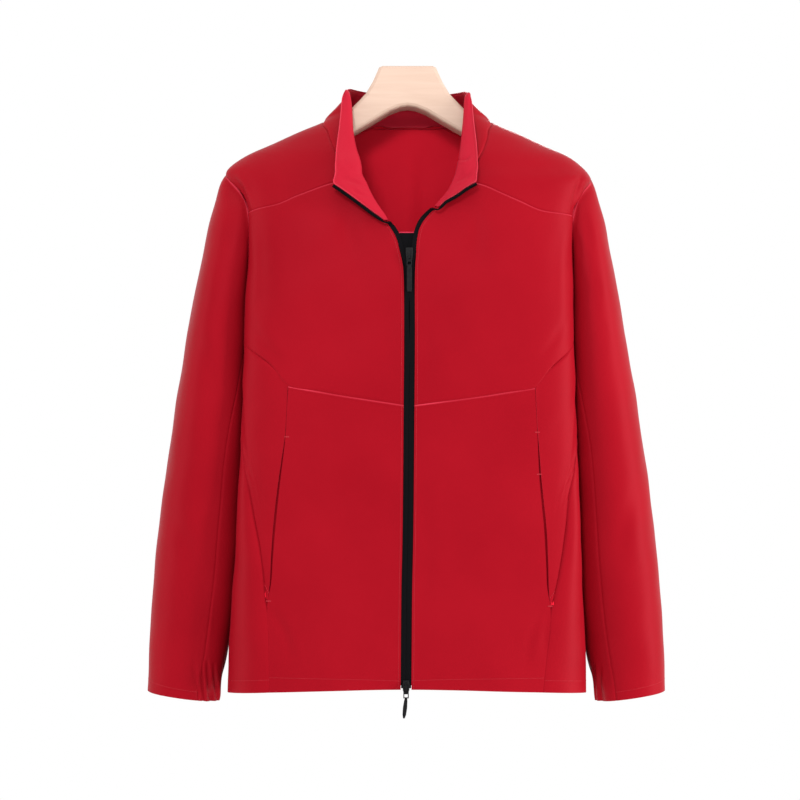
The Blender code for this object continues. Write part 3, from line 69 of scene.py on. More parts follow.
LIFT_HIGHLIGHT = (0.8, 0.4, 0.8)   # how pale, place and width of the highlight painted on that roll
HIGHLIGHT_ABOVE = (-205, 12)   # lowest place of that line, and the height it fades over
ALL_ROUND = ("top", "bottom", "first", "last")
PUCKER = (0.13, 8.5, 6.0, 1.5)  # height, pitch, reach and nearest place of a seam's puckers
PUCKER_DRIFT = (2.3, 31)    # how far their pitch drifts, and over what length
SLACK = 0.30                # height of the cloth's soft unevenness
SLACK_WAVES = [(0.9, 0.2, 0.5, 61), (-0.5, 0.3, 0.8, 47), (0.2, 0.9, -0.4, 38),
               (0.7, -0.6, -0.3, 83), (-0.1, 0.5, 1.0, 112)]
SLACK_PHASE = 1.7           # between one of its waves and the next
CREASE_POINTS = 24          # a crease is followed from point to point
CREASE_FADE = (0.94, 0.03, 0.8)   # share, start and power of its rise and fall
CREASE_FACED = 0.3          # it is whole where the cloth faces its way by this much
RIDGE = (1.7, 1.2)          # place and width of its ridge, in widths of the crease
WELD = 2e-5                 # in metres: corners nearer than this are one
ALIKE = 0.003               # two lengths in mm that differ by less are the same
SQUARE_TO = 0.60            # how nearly an edge through the wall is square to its faces
SLANTED = (0.35, 0.65)      # sines of the angle in a cell: flat below the first, curved above
LEAST_USED = 0.45           # a cut takes up at least this share of its sheet's rectangle
SPARE = 1e-5                # in metres: keeps a rounded sheet as large as its cut
# The paler red of the highlights painted on seam rolls and edges.
HIGHLIGHT_RED = (0.56, 0.040, 0.070, 1)

# A crease follows a few places in X and Z on the side of the jacket that faces the
# front or the back. Depth is below the cloth, shoulder is the low ridge beside it.
Crease = namedtuple("Crease", "facing places width depth shoulder")
BACK_CREASES = [
    Crease(1, [(0, -100), (3, -170), (-4, -260)], 10, 2.6, 1.3),
    Crease(1, [(-150, -160), (-120, -205), (-80, -232)], 9, 3.0, 1.8),
    Crease(1, [(155, -170), (128, -215), (92, -250)], 9, 2.8, 1.7),
    Crease(1, [(-168, -235), (-140, -262), (-112, -275)], 7, 2.0, 1.2),
    Crease(1, [(170, -250), (138, -285), (110, -296)], 7, 2.2, 1.2),
    Crease(1, [(-120, -470), (-128, -590), (-116, -700)], 10, 2.6, 1.6),
    Crease(1, [(96, -520), (108, -620), (101, -750)], 11, 2.4, 1.5),
    Crease(1, [(20, -560), (14, -660), (24, -772)], 9, 1.8, 1.1),
    Crease(1, [(-60, -640), (-52, -700), (-57, -775)], 7, 1.5, 1.0),
    Crease(1, [(-40, -105), (-46, -150), (-30, -190)], 7, 1.5, 0.9),
]


def loose_faces(form, walls):
    """Faces of a cloth solid in two sheets, with the cut edges between them left out."""
    rim = set()
    for edge in form.edges:
        if min(abs(edge.calc_length() / MM - wall) for wall in walls) < ALIKE:
            through = (edge.verts[1].co - edge.verts[0].co).normalized()
            beside = {face for vert in edge.verts for face in vert.link_faces}
            if max(abs(through.dot(face.normal)) for face in beside) > SQUARE_TO:
                rim.update(edge.link_faces)
    # A face counts itself on each of its four edges, so more than four has a neighbour.
    rim = {face for face in rim
           if sum(other in rim for edge in face.edges for other in edge.link_faces) > 4}
    left = set(form.faces) - rim
    sheets = []
    while left:
        sheet = [left.pop()]
        for face in sheet:
            for edge in face.edges:
                joined = [other for other in edge.link_faces if other in left]
                left.difference_update(joined)
                sheet.extend(joined)
        sheets.append(sheet)
    whole = max(sheets, key=len)
    touched = {vert for face in whole for vert in face.verts}
    return [whole, [face for face in form.faces if not touched.intersection(face.verts)]]


def outline_of(sheet, inside):
    """Points round a sheet, one after the other."""
    after = {}
    for face in sheet:
        for loop in face.loops:
            if sum(other in inside for other in loop.edge.link_faces) == 1:
                after[loop.vert] = loop.link_loop_next.vert
    ring = [next(iter(after))]
    while after[ring[-1]] is not ring[0]:
        ring.append(after[ring[-1]])
    return ring


def corner_ring(ring, sheet, inside):
    """The outline started at a corner, and the number of cells down its first side."""
    count = len(ring)
    half = count // 2
    cells = len({vert for face in sheet for vert in face.verts}) - 1 - half
    at = [vert.co for vert in ring]
    turn = [(at[k] - at[k - 1]).angle(at[(k + 1) % count] - at[k]) for k in range(count)]
    few = [sum(face in inside for face in vert.link_faces) <= 2 for vert in ring]
    best = (0, 0, 0)
    for rows in range(1, half):
        if rows * (half - rows) != cells:
            continue
        for k in range(half):
            corners = [(k + step) % count for step in (0, rows, half, half + rows)]
            if all(few[c] for c in corners):
                best = max(best, (sum(turn[c] for c in corners), rows, k))
    _, rows, k = best
    return ring[k:] + ring[:k], rows


def laid_grid(ring, rows, sheet):
    """Points of a sheet in rows and columns, walked in from two of its sides."""
    columns = len(ring) // 2 - rows
    grid = np.empty((rows + 1, columns + 1), dtype=object)
    for i in range(rows + 1):
        grid[i, 0] = ring[i]
        grid[rows - i, columns] = ring[rows + columns + i]
    for j in range(columns + 1):
        grid[rows, j] = ring[rows + j]
        grid[0, columns - j] = ring[(2 * rows + columns + j) % len(ring)]
    near = {}
    for face in sheet:
        for edge in face.edges:
            first, second = edge.verts
            near.setdefault(first, set()).add(second)
            near.setdefault(second, set()).add(first)
    used = set(ring)
    for i in range(1, rows):
        for j in range(1, columns):
            grid[i, j] = ((near[grid[i - 1, j]] & near[grid[i, j - 1]]) - used).pop()
            used.add(grid[i, j])
    return np.array([[vert.co for vert in row] for row in grid]) / MM


def cut_of(node, facing=None, walls=(CLOTH,)):
    """Face of a cloth solid as points in rows that run down the cloth and columns."""
    form = bmesh.new()
    form.from_mesh(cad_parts[node].data)
    bmesh.ops.remove_doubles(form, verts=form.verts, dist=WELD)
    form.normal_update()
    sheets = loose_faces(form, walls)
    if facing is None:
        sheet = max(sheets, key=lambda faces: sum(face.calc_area() for face in faces))
    else:
        sheet = max(sheets, key=lambda faces: sum(face.calc_area() * face.normal.dot(facing)
                                                  for face in faces))
    inside = set(sheet)
    first = sheet[0].normal.copy()
    first_at = np.array(sheet[0].calc_center_median()) / MM
    ring, rows = corner_ring(outline_of(sheet, inside), sheet, inside)
    points = laid_grid(ring, rows, sheet)
    form.free()
    falls = []
    for axis in (0, 1):
        step = np.diff(points, axis=axis)
        falls.append(abs(step[..., 2].sum()) / np.abs(step).sum())
    if falls[1] > falls[0]:
        points = points.transpose(1, 0, 2)
    if points[0, :, 2].mean() < points[-1, :, 2].mean():
        points = points[::-1]
    nearest = np.argmin(np.linalg.norm(points - first_at, axis=-1))
    if normals(points).reshape(-1, 3)[nearest] @ np.array(first) < 0:
        points = points[:, ::-1]
    return points


def spline(knots, values, places):
    """Smooth line through values at knots, read at other places."""
    knots = np.asarray(knots, float)
    step = np.diff(knots)
    count = len(knots)
    flat = values.reshape(count, -1)
    matrix = np.zeros((count, count))
    right = np.zeros_like(flat)
    slope = np.diff(flat, axis=0) / step[:, None]
    for i in range(1, count - 1):
        matrix[i, i - 1:i + 2] = step[i - 1], 2 * (step[i - 1] + step[i]), step[i]
        right[i] = 6 * (slope[i] - slope[i - 1])
    if count > 3:
        matrix[0, :3] = step[1], -step[0] - step[1], step[0]
        matrix[-1, -3:] = step[-1], -step[-1] - step[-2], step[-2]
    else:
        matrix[0, 0] = matrix[-1, -1] = 1
    bend = np.linalg.solve(matrix, right)
    i = np.clip(np.searchsorted(knots, places) - 1, 0, count - 2)
    after = (places - knots[i])[:, None]
    before = (knots[i + 1] - places)[:, None]
    wide = step[i][:, None]
    read = ((bend[i] * before ** 3 + bend[i + 1] * after ** 3) / (6 * wide)
            + (flat[i] / wide - bend[i] * wide / 6) * before
            + (flat[i + 1] / wide - bend[i + 1] * wide / 6) * after)
    return read.reshape((len(places),) + values.shape[1:])


def straight(knots, values, places):
    """Straight lines between values at knots, read at other places."""
    i = np.clip(np.searchsorted(knots, places) - 1, 0, len(knots) - 2)
    part = (places - knots[i]) / (knots[i + 1] - knots[i])
    part = part.reshape(-1, *[1] * (values.ndim - 1))
    return values[i] * (1 - part) + values[i + 1] * part


def ease(value, start=0.0, over=1.0):
    """0 up to a start, 1 from a length past it, and a smooth rise between."""
    t = np.clip((value - start) / over, 0, 1)
    return t * t * (3 - 2 * t)


def bell(away, wide):
    """1 on a line, and a smooth fall on both sides of it."""
    return np.exp(-(away / wide) ** 2)


def square_cells(points):
    """How nearly square the cells of a grid are: 0 where both directions almost agree."""
    one = np.gradient(points, axis=1)
    other = np.gradient(points, axis=0)
    sine = (np.linalg.norm(np.cross(one, other), axis=-1)
            / (np.linalg.norm(one, axis=-1) * np.linalg.norm(other, axis=-1)))
    return ease(sine, SLANTED[0], SLANTED[1] - SLANTED[0])


def lengths(points):
    """Mean distance along a grid's first direction, from its first line."""
    steps = np.linalg.norm(np.diff(points, axis=0), axis=-1).mean(axis=1)
    return np.concatenate([[0], np.cumsum(steps)])


def lines_at(length, step, margin, start_turned, end_turned, turned):
    """Places along a length: even, closer beside both cut edges, and past a seam."""
    margin = np.array(margin)
    turned = np.array(turned)
    inner = np.linspace(margin[-1], length - margin[-1],
                        max(2, int(round((length - 2 * margin[-1]) / step)) + 1))
    return np.concatenate([turned[:start_turned * len(turned)], margin[:-1], inner,
                           length - margin[:-1][::-1],
                           length - turned[::-1][:end_turned * len(turned)]])


def normals(points):
    """Directions out of the cloth at the points of a grid."""
    across = np.gradient(points, axis=1)
    down = np.gradient(points, axis=0)
    normal = np.cross(down, across)
    return normal / (np.linalg.norm(normal, axis=-1, keepdims=True) + 1e-12)


class Cut:
    """One cut of cloth laid out densely: its points, normals and distances along it.

    Its lines lie a step apart, or across it a fine step, and closer beside its edges.
    """

    def __init__(self, points, step, seams=ALL_ROUND, margin=EDGE_LINES, turned=TURNED,
                 fine=None):
        down = lengths(points)
        across = lengths(points.transpose(1, 0, 2))
        self.tall, self.wide = down[-1], across[-1]
        self.seams = seams
        self.down = lines_at(down[-1], step, margin, "top" in seams, "bottom" in seams, turned)
        self.across = lines_at(across[-1], fine or step, margin, "first" in seams,
                               "last" in seams, TURNED)
        dense = spline(down, points, self.down)
        curved = spline(across, dense.transpose(1, 0, 2), self.across).transpose(1, 0, 2)
        plain = straight(down, points, self.down)
        plain = straight(across, plain.transpose(1, 0, 2), self.across).transpose(1, 0, 2)
        square = straight(down, square_cells(points), self.down)
        square = np.clip(straight(across, square.T, self.across).T, 0, 1)[..., None]
        self.points = plain + square * (curved - plain)
        self.normal = normals(self.points)
        down, across = np.meshgrid(self.down, self.across, indexing="ij")
        self.away = {"top": down, "bottom": self.tall - down,
                     "first": across, "last": self.wide - across}
        self.along = {"top": across, "bottom": across, "first": down, "last": down}
        # Strength of the highlight painted at each point, which the material reads.
        self.wear = np.zeros(down.shape)

    def raise_by(self, height):
        self.points = self.points + height[..., None] * self.normal

    def flat(self, level_from):
        """Width and length of the cloth that the cut takes, and its area, in metres.

        Lines across are level from a share of the length on, and bend round a seam above.
        """
        one_way = self.points[1:, 1:] - self.points[:-1, :-1]
        other_way = self.points[1:, :-1] - self.points[:-1, 1:]
        area = np.linalg.norm(np.cross(one_way, other_way), axis=-1).sum() / 2 * MM * MM
        tall = np.linalg.norm(np.diff(self.points, axis=0), axis=-1).sum(axis=0).max() * MM
        level = self.points[int(level_from * len(self.points)):]
        wide = np.linalg.norm(np.diff(level, axis=1), axis=-1).sum(axis=1).max() * MM
        wide = min(wide, area / tall / LEAST_USED)
        return float(wide) + SPARE, float(tall) + SPARE, float(area)


def line_of(cut, edge):
    """Points on one of the side edges of a cut."""
    return cut.points[:, np.argmin(np.abs(cut.away[edge][0]))]


def crease_height(cut, crease):
    """Height of one crease over a cut: a soft trough with a ridge beside it."""
    places = np.array(crease.places, float)
    knots = np.arange(len(places))
    line = spline(knots, places, np.linspace(0, knots[-1], CREASE_POINTS))
    x, z = cut.points[..., 0], cut.points[..., 2]
    nearest = np.full(x.shape, 1e9)
    signed = np.zeros(x.shape)
    along = np.zeros(x.shape)
    for k in range(len(line) - 1):
        (x0, z0), (x1, z1) = line[k], line[k + 1]
        run = np.hypot(x1 - x0, z1 - z0)
        part = np.clip(((x - x0) * (x1 - x0) + (z - z0) * (z1 - z0)) / run ** 2, 0, 1)
        away = np.hypot(x - x0 - part * (x1 - x0), z - z0 - part * (z1 - z0))
        side = np.sign((x1 - x0) * (z - z0) - (z1 - z0) * (x - x0))
        closer = away < nearest
        nearest = np.where(closer, away, nearest)
        signed = np.where(closer, side * away, signed)
        along = np.where(closer, (k + part) / (len(line) - 1), along)
    share, start, power = CREASE_FADE
    strength = np.sin(np.pi * np.clip(along * share + start, 0, 1)) ** power
    faced = ease(crease.facing * cut.normal[..., 1], over=CREASE_FACED)
    place, spread = RIDGE
    trough = -crease.depth * bell(signed, crease.width)
    ridge = crease.shoulder * bell(signed - place * crease.width, spread * crease.width)
    return (trough + ridge) * strength * faced


def worn(cut, creases=(), welts=(), lifted=(), flush=None):
    """Slack, creases, seams turned in and puckers beside them, on a laid-out cut.

    On the jacket's front half, side seams lie flat below the height given as flush.
    """
    x, y, z = (cut.points[..., axis] for axis in range(3))
    height = np.zeros(x.shape)
    for k, (a, b, c, wave) in enumerate(SLACK_WAVES):
        turn = 2 * np.pi * (a * x + b * y + c * z) / wave + SLACK_PHASE * k
        height += SLACK * np.sin(turn) / 2
    for crease in creases:
        height += crease_height(cut, crease)
    high, pitch, reach, nearest = PUCKER
    drift, slow = PUCKER_DRIFT
    sink = np.zeros(x.shape)
    for name in cut.seams:
        away, along = cut.away[name], cut.along[name]
        inside, past = np.maximum(away, 0), np.maximum(-away, 0)
        wobble = np.sin(2 * np.pi * along / pitch + drift * np.sin(along / slow))
        height += high * wobble * (bell(inside, reach) - bell(inside, nearest))
        if name in lifted:
            faced = ease(np.abs(cut.normal[..., 1]), *LIFT_FACED)
            height += faced * LIFT[0] * bell(inside, LIFT[1])
            sink = np.maximum(sink, (1 - faced) * SEAM_SLOPE * past)
            # A paler line is painted on the sleeve head's roll as a highlight, above a height.
            pale, place, wide = LIFT_HIGHLIGHT
            raised = faced * ease(z, *HIGHLIGHT_ABOVE)
            cut.wear = np.maximum(cut.wear, pale * raised * bell(inside - place, wide))
            continue
        low = SEAM_SINK * bell(inside, SEAM_REACH)
        if flush is not None and name in ("first", "last"):
            low = low * (1 - ease(flush - z, over=FLUSH_OVER) * (y < 0))
        sink = np.maximum(sink, low + SEAM_SLOPE * past)
        if name in welts:
            roll, place, wide = WELT
            height += roll * bell(inside - place, wide)
            # A paler line is painted on the roll as a highlight, stronger and weaker along the
            # seam.
            pale, varies, short, long = SEAM_HIGHLIGHT_BY
            pale = pale + varies * np.sin(along / short + 2 * np.sin(along / long))
            place, wide = SEAM_HIGHLIGHT
            cut.wear = np.maximum(cut.wear, pale * bell(inside - place, wide))
    height -= sink
    cut.raise_by(height)
    return cut


def wall_mesh(name, outer, inner, down, across):
    """Closed wall between two grids of points, with its own flat pattern as UV."""
    rows, columns = outer.shape[:2]
    points = np.concatenate([outer.reshape(-1, 3), inner.reshape(-1, 3)]) * MM
    index = np.arange(rows * columns).reshape(rows, columns)
    corner = [index[:-1, :-1], index[:-1, 1:], index[1:, 1:], index[1:, :-1]]
    face = np.stack([part.ravel() for part in corner], axis=1)
    back = rows * columns
    faces = [face[:, ::-1], face + back]
    for edge in (index[:, 0], index[::-1, -1], index[0, ::-1], index[-1]):
        start, end = edge[:-1], edge[1:]
        faces.append(np.stack([end, start, start + back, end + back], axis=1)[:, ::-1])
    faces = np.concatenate(faces)
    mesh = bpy.data.meshes.new(name)
    mesh.vertices.add(len(points))
    mesh.vertices.foreach_set("co", points.ravel())
    mesh.loops.add(faces.size)
    mesh.loops.foreach_set("vertex_index", faces.ravel())
    mesh.polygons.add(len(faces))
    mesh.polygons.foreach_set("loop_start", np.arange(0, faces.size, 4))
    mesh.update(calc_edges=True)
    mesh.validate()
    pattern = np.stack(np.meshgrid(across, -down), axis=-1).reshape(-1, 2) * MM
    pattern = np.concatenate([pattern, pattern])
    layer = mesh.uv_layers.new(name="pattern")
    layer.data.foreach_set("uv", pattern[faces.ravel()].ravel())
    mesh.shade_smooth()
    return mesh


def add_piece(name, mesh, material, body="jacket"):
    mesh.materials.append(material)
    piece = bpy.data.objects.new(name, mesh)
    bpy.context.scene.collection.objects.link(piece)
    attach(piece, body)
    return piece


def cloth_piece(node, cut, material, wall=CLOTH,
                within=None, facing=None, highlight_within=0.0, level_from=0.0):
    """The finished cut of cloth that stands for its solid; its flat size is worked out but not
    used.

    It has its material outside and, if given, another within.
    """
    outer = cut.points
    turned = np.zeros(outer.shape[:2])
    for name in cut.seams:
        turned = np.maximum(turned, ease(-cut.away[name]))
    facing = normals(outer) if facing is None else facing
    inner = outer - (wall * (1 - (1 - TURNED_WALL) * turned))[..., None] * facing
    name = node + "_cloth"
    mesh = wall_mesh(name, outer, inner, cut.down, cut.across)
    # The painted highlight is stored per point for the material; the inner sheet gets a share
    # of it.
    layer = mesh.attributes.new("wear", "FLOAT", "POINT")
    highlight_mask = cut.wear.ravel()
    layer.data.foreach_set("value", np.concatenate([highlight_mask, highlight_within * highlight_mask]))
    piece = add_piece(name, mesh, material)
    if within is not None:
        mesh.materials.append(within)
        cells = (outer.shape[0] - 1) * (outer.shape[1] - 1)
        slots = np.zeros(len(mesh.polygons), dtype=np.int32)
        slots[cells:2 * cells] = 1
        mesh.polygons.foreach_set("material_index", slots)
    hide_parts(node)
    wide, tall, area = cut.flat(level_from)


def set_inputs(node, **values):
    """Sets inputs of a node by their names, with _ for each space."""
    for name, value in values.items():
        node.inputs[name.replace("_", " ")].default_value = value


def new_material(name, **looks):
    """A material with its nodes and its shader, some of whose inputs are set."""
    material = bpy.data.materials.new(name)
    material.use_nodes = True
    shader = material.node_tree.nodes["Principled BSDF"]
    set_inputs(shader, **looks)
    return material, material.node_tree, shader


def texture(tree, kind, space="Object", **looks):
    """A noise or a wave over a piece, or over its flat pattern in the space UV."""
    place = tree.nodes.new("ShaderNodeTexCoord")
    made = tree.nodes.new("ShaderNodeTex" + kind)
    set_inputs(made, **looks)
    tree.links.new(place.outputs[space], made.inputs["Vector"])
    return made


def tint(tree, source, socket, dark, light, ends=(0.0, 1.0)):
    """Colours a socket from dark to light with a texture, between two of its values."""
    colour = tree.nodes.new("ShaderNodeValToRGB")
    for stop, place, tone in zip(colour.color_ramp.elements, ends, (dark, light)):
        stop.position = place
        stop.color = (*tone, 1)
    tree.links.new(source.outputs["Fac"], colour.inputs["Fac"])
    tree.links.new(colour.outputs["Color"], socket)


def gloss(tree, source, shader, **ends):
    """Makes a surface rougher and smoother with a texture."""
    gleam = tree.nodes.new("ShaderNodeMapRange")
    set_inputs(gleam, **ends)
    tree.links.new(source.outputs["Fac"], gleam.inputs["Value"])
    tree.links.new(gleam.outputs["Result"], shader.inputs["Roughness"])


def bump(tree, height, shader, **looks):
    """Raises a surface with a texture. Its distance is in metres."""
    raised = tree.nodes.new("ShaderNodeBump")
    set_inputs(raised, **looks)
    tree.links.new(height, raised.inputs["Height"])
    tree.links.new(raised.outputs["Normal"], shader.inputs["Normal"])


def softshell(name, dark, light):
    """Softshell: a fine plain weave with a dull silk gleam and a faint unevenness."""
    material, tree, shader = new_material(
        name, Specular_IOR_Level=0.14, Specular_Tint=(1.0, 0.12, 0.18, 1),
        Sheen_Weight=0.05, Sheen_Roughness=0.35, Sheen_Tint=(1.0, 0.08, 0.14, 1))
    broad = texture(tree, "Noise", Scale=9.0, Detail=3.0)
    # A paler red is mixed in where the piece carries painted highlight.
    highlight_mask = tree.nodes.new("ShaderNodeAttribute")
    highlight_mask.attribute_name = "wear"
    highlighted = tree.nodes.new("ShaderNodeMix")
    highlighted.data_type = "RGBA"
    highlighted.inputs["B"].default_value = HIGHLIGHT_RED
    tree.links.new(highlight_mask.outputs["Fac"], highlighted.inputs["Factor"])
    tint(tree, broad, highlighted.inputs["A"], dark, light, ends=(0.3, 0.7))
    tree.links.new(highlighted.outputs["Result"], shader.inputs["Base Color"])
    weave = tree.nodes.new("ShaderNodeMath")
    weave.operation = "ADD"
    for k, (direction, scale) in enumerate((("X", 390.0), ("Y", 262.0))):
        threads = texture(tree, "Wave", "UV", Scale=scale, Distortion=0.6, Detail=1.0)
        threads.bands_direction = direction
        tree.links.new(threads.outputs["Fac"], weave.inputs[k])
    bump(tree, weave.outputs["Value"], shader, Strength=0.10, Distance=0.0002)
    gloss(tree, broad, shader, From_Min=0.3, From_Max=0.7, To_Min=0.44, To_Max=0.52)
    return material


# The outer red is the cloth's own colour. The inner face is the same cloth with a much
# brighter colour, painted light that lifts the shade inside the jacket.
red = softshell("red softshell", (0.228, 0.0028, 0.0078), (0.250, 0.0033, 0.0088))
lit_inner_red = softshell("red inner face", (0.600, 0.0095, 0.0250), (0.640, 0.0105, 0.0270))
back = Cut(cut_of("back"), step=3.6, seams=["top", "first", "last"])
worn(back, BACK_CREASES)
cloth_piece("back", back, red, within=lit_inner_red, level_from=0.5)


# ---------------------------------------------------------------- the yokes
# Each yoke is one cut that goes over the shoulder, from the seam on the chest to the
# seam on the back. It carries the jacket's weight on the hanger's arm, so it is smooth
# but for one crease.

SIDES = {"right": -1, "left": 1}
YOKE_CREASES = {
    "right": [Crease(-1, [(-217, -138), (-209, -150), (-202, -164), (-193, -192)],
                     3.4, 2.3, 1.5)],
    "left": [Crease(-1, [(217, -134), (208, -162), (203, -197)], 3.4, 2.4, 1.4)],
}
for name in SIDES:
    yoke = worn(Cut(cut_of("yoke_" + name), step=2.6), YOKE_CREASES[name])
    cloth_piece("yoke_" + name, yoke, red, within=lit_inner_red)


# ---------------------------------------------------------------- the fronts
# Each front is cut in three: the chest, the lower front and the long side front whose
# edge is left open as the pocket. A strip of the same cloth faces the pocket behind.

FRONT = (0, -1, 0)
THIN = 1.2                  # wall of the pocket facings and of the wind guard
POCKET_HIGHLIGHT = (-560, 40)  # lowest place of the highlight painted on a pocket's edge, and its fade
CHESTS, LOWERS, SIDE_FRONTS, PANELS, SLEEVES = {}, {}, {}, {}, {}
CHEST_CREASES = {
    "right": [Crease(-1, [(-60, -180), (-74, -204), (-62, -244)], 12, 1.8, 0.5),
              Crease(-1, [(-194, -188), (-188, -240), (-190, -320)], 6, -0.9, -0.5),
              Crease(-1, [(-192, -318), (-176, -346), (-152, -372)], 7, 0.8, 0.4),
              Crease(-1, [(-12, -300), (-24, -350), (-14, -400)], 9, 0.5, 0.3)],
    "left": [Crease(-1, [(66, -186), (84, -206), (80, -240)], 11, 1.2, 0.5),
             Crease(-1, [(200, -196), (190, -250), (191, -330)], 7, -1.1, -0.6),
             Crease(-1, [(196, -312), (178, -344), (160, -366)], 6, 0.8, 0.4),
             Crease(-1, [(14, -330), (26, -362), (16, -404)], 9, 0.5, 0.3)],
}
LOWER_CREASES = {
    "right": [Crease(-1, [(-167, -672), (-150, -700), (-142, -736)], 6, 0.9, 0.4),
              Crease(-1, [(-12, -470), (-20, -560), (-13, -660)], 10, 0.5, 0.3)],
    "left": [Crease(-1, [(166, -676), (150, -704), (146, -742)], 6, 0.9, 0.4),
             Crease(-1, [(174, -672), (168, -700), (170, -730)], 4, 0.7, 0.4),
             Crease(-1, [(14, -500), (24, -600), (15, -700)], 10, 0.5, 0.3)],
}
for name, side in SIDES.items():
    zip_edge = "last" if side < 0 else "first"
    chest = Cut(cut_of("chest_" + name, FRONT), step=2.4,
                seams=[edge for edge in ALL_ROUND if edge != zip_edge])
    CHESTS[name] = worn(chest, CHEST_CREASES[name], welts=["top"])
    cloth_piece("chest_" + name, chest, red, within=lit_inner_red)
    lower = Cut(cut_of("lower_front_" + name, FRONT), step=2.6, seams=["top"])
    LOWERS[name] = worn(lower, LOWER_CREASES[name], welts=["top"])
    cloth_piece("lower_front_" + name, lower, red, within=lit_inner_red)
    beside = Cut(cut_of("side_front_" + name, (side, -1, 0)), step=2.6,
                 seams=["top", "first" if side < 0 else "last"])
    outer = max(("first", "last"), key=lambda edge: abs(line_of(beside, edge)[:, 0]).mean())
    SIDE_FRONTS[name] = worn(beside, welts=[outer])
    # The highlight painted on the pocket's edge fades out towards the hem.
    beside.wear *= ease(beside.points[..., 2], *POCKET_HIGHLIGHT)
    cloth_piece("side_front_" + name, beside, red, within=lit_inner_red)
    facing = Cut(cut_of("pocket_" + name, FRONT, walls=(THIN,)), step=3.0, seams=[])
    cloth_piece("pocket_" + name, facing, red, wall=THIN)


# ---------------------------------------------------------------- the side panels
# Each side panel is one long cut from the underarm to the hem, between the seam that
# shows beside the pocket and the seam on the back.

PANEL_FLUSH = -662          # below the pocket, the panel's front seam lies flat

for name in SIDES:
    panel = Cut(cut_of("side_panel_" + name), step=3.4, seams=["top", "first", "last"])
    PANELS[name] = worn(panel, flush=PANEL_FLUSH)
    cloth_piece("side_panel_" + name, PANELS[name], red, within=lit_inner_red)


# ---------------------------------------------------------------- the sleeves
# A sleeve is a wide outer cut and a narrow under-sleeve on the body side, whose cuff is
# gathered on a strip of elastic.

CAP_TURNED = (-5.0, -3.4, -2.0, -1.0)   # the sleeve's head is turned in further
SLEEVE_CREASES = {
    "right": [Crease(-1, [(-264, -735), (-262, -762), (-259, -786)], 2.2, 1.5, 0.8),
              Crease(-1, [(-292, -560), (-272, -596), (-262, -640)], 11, 1.1, 0.5),
              Crease(-1, [(-262, -330), (-246, -372), (-240, -420)], 12, 1.2, 0.6),
              Crease(1, [(-300, -470), (-268, -492), (-240, -500)], 8, 1.5, 0.9),
              Crease(1, [(-296, -520), (-270, -528), (-246, -524)], 7, 1.2, 0.6)],
    "left": [Crease(-1, [(236, -762), (240, -774), (243, -787)], 1.8, 1.2, 0.7),
             Crease(-1, [(244, -763), (248, -773), (251, -786)], 1.8, 1.1, 0.6),
             Crease(-1, [(286, -520), (268, -566), (262, -620)], 11, 1.0, 0.5),
             Crease(1, [(290, -455), (262, -476), (238, -482)], 8, 1.4, 0.9),
             Crease(1, [(298, -560), (274, -572), (250, -566)], 7, 1.2, 0.6)],
}
UNDER_CREASES = {
    "right": [Crease(-1, [(-256, -742), (-254, -768), (-252, -808)], 1.7, 3.0, 1.4),
              Crease(-1, [(-248, -738), (-246, -768), (-243, -810)], 1.6, 2.8, 1.3),
              Crease(-1, [(-240, -744), (-239, -766), (-236, -806)], 1.5, 2.2, 1.1),
              Crease(-1, [(-246, -640), (-249, -690), (-253, -735)], 3.0, 1.2, 0.6)],
    "left": [Crease(-1, [(232, -744), (233, -768), (236, -808)], 1.7, 2.2, 1.1),
             Crease(-1, [(240, -748), (240, -770), (243, -806)], 1.6, 1.8, 0.9)],
}
for name, side in SIDES.items():
    sleeve = Cut(cut_of("sleeve_" + name), step=3.2, seams=["top", "first", "last"],
                 turned=CAP_TURNED)
    SLEEVES[name] = worn(sleeve, SLEEVE_CREASES[name], lifted=["top"])
    cloth_piece("sleeve_" + name, sleeve, red, within=lit_inner_red, level_from=0.35)
    under = Cut(cut_of("undersleeve_" + name, (-side, 0, 0)), step=2.8,
                seams=["top", "first", "last"], turned=CAP_TURNED, fine=1.1)
    worn(under, UNDER_CREASES[name], lifted=["top"])
    cloth_piece("undersleeve_" + name, under, red, within=lit_inner_red)


# ---------------------------------------------------------------- the collar
# The stand collar is sewn to the neck seam all round. Worn open, its two front corners
# turn over and lie on the chest.

COLLAR_WALL = 1.4
FLAPS = (24, 22)            # the neck seam is turned in from here on, over this length
FLAT_SEAM = 0.08            # share that it is turned in before
TIP = (0.25, 9)             # share of the wall at the corner's tip, and how far it thins
EDGE_STITCH = (1.9, 0.55, 0.7)   # distance, depth and width of the groove of its stitches
EDGE_HIGHLIGHT = (0.7, 0.9)    # how pale the highlight painted on the edge is, and how wide
COLLAR_CREASES = [          # seen from outside, so a ridge there is a trough in the flap
    Crease(1, [(-79, -144), (-67, -150), (-50, -156)], 1.6, -1.7, -1.0),
    Crease(1, [(-70, -157), (-62, -164), (-47, -169)], 1.4, -1.4, -0.9),
    Crease(1, [(-84, -118), (-79, -132), (-68, -140)], 1.7, 1.3, 0.8),
    Crease(1, [(79, -116), (70, -123), (58, -121)], 1.6, -1.6, -1.0),
    Crease(1, [(82, -134), (70, -146), (55, -152)], 1.7, -1.4, -0.9),
]
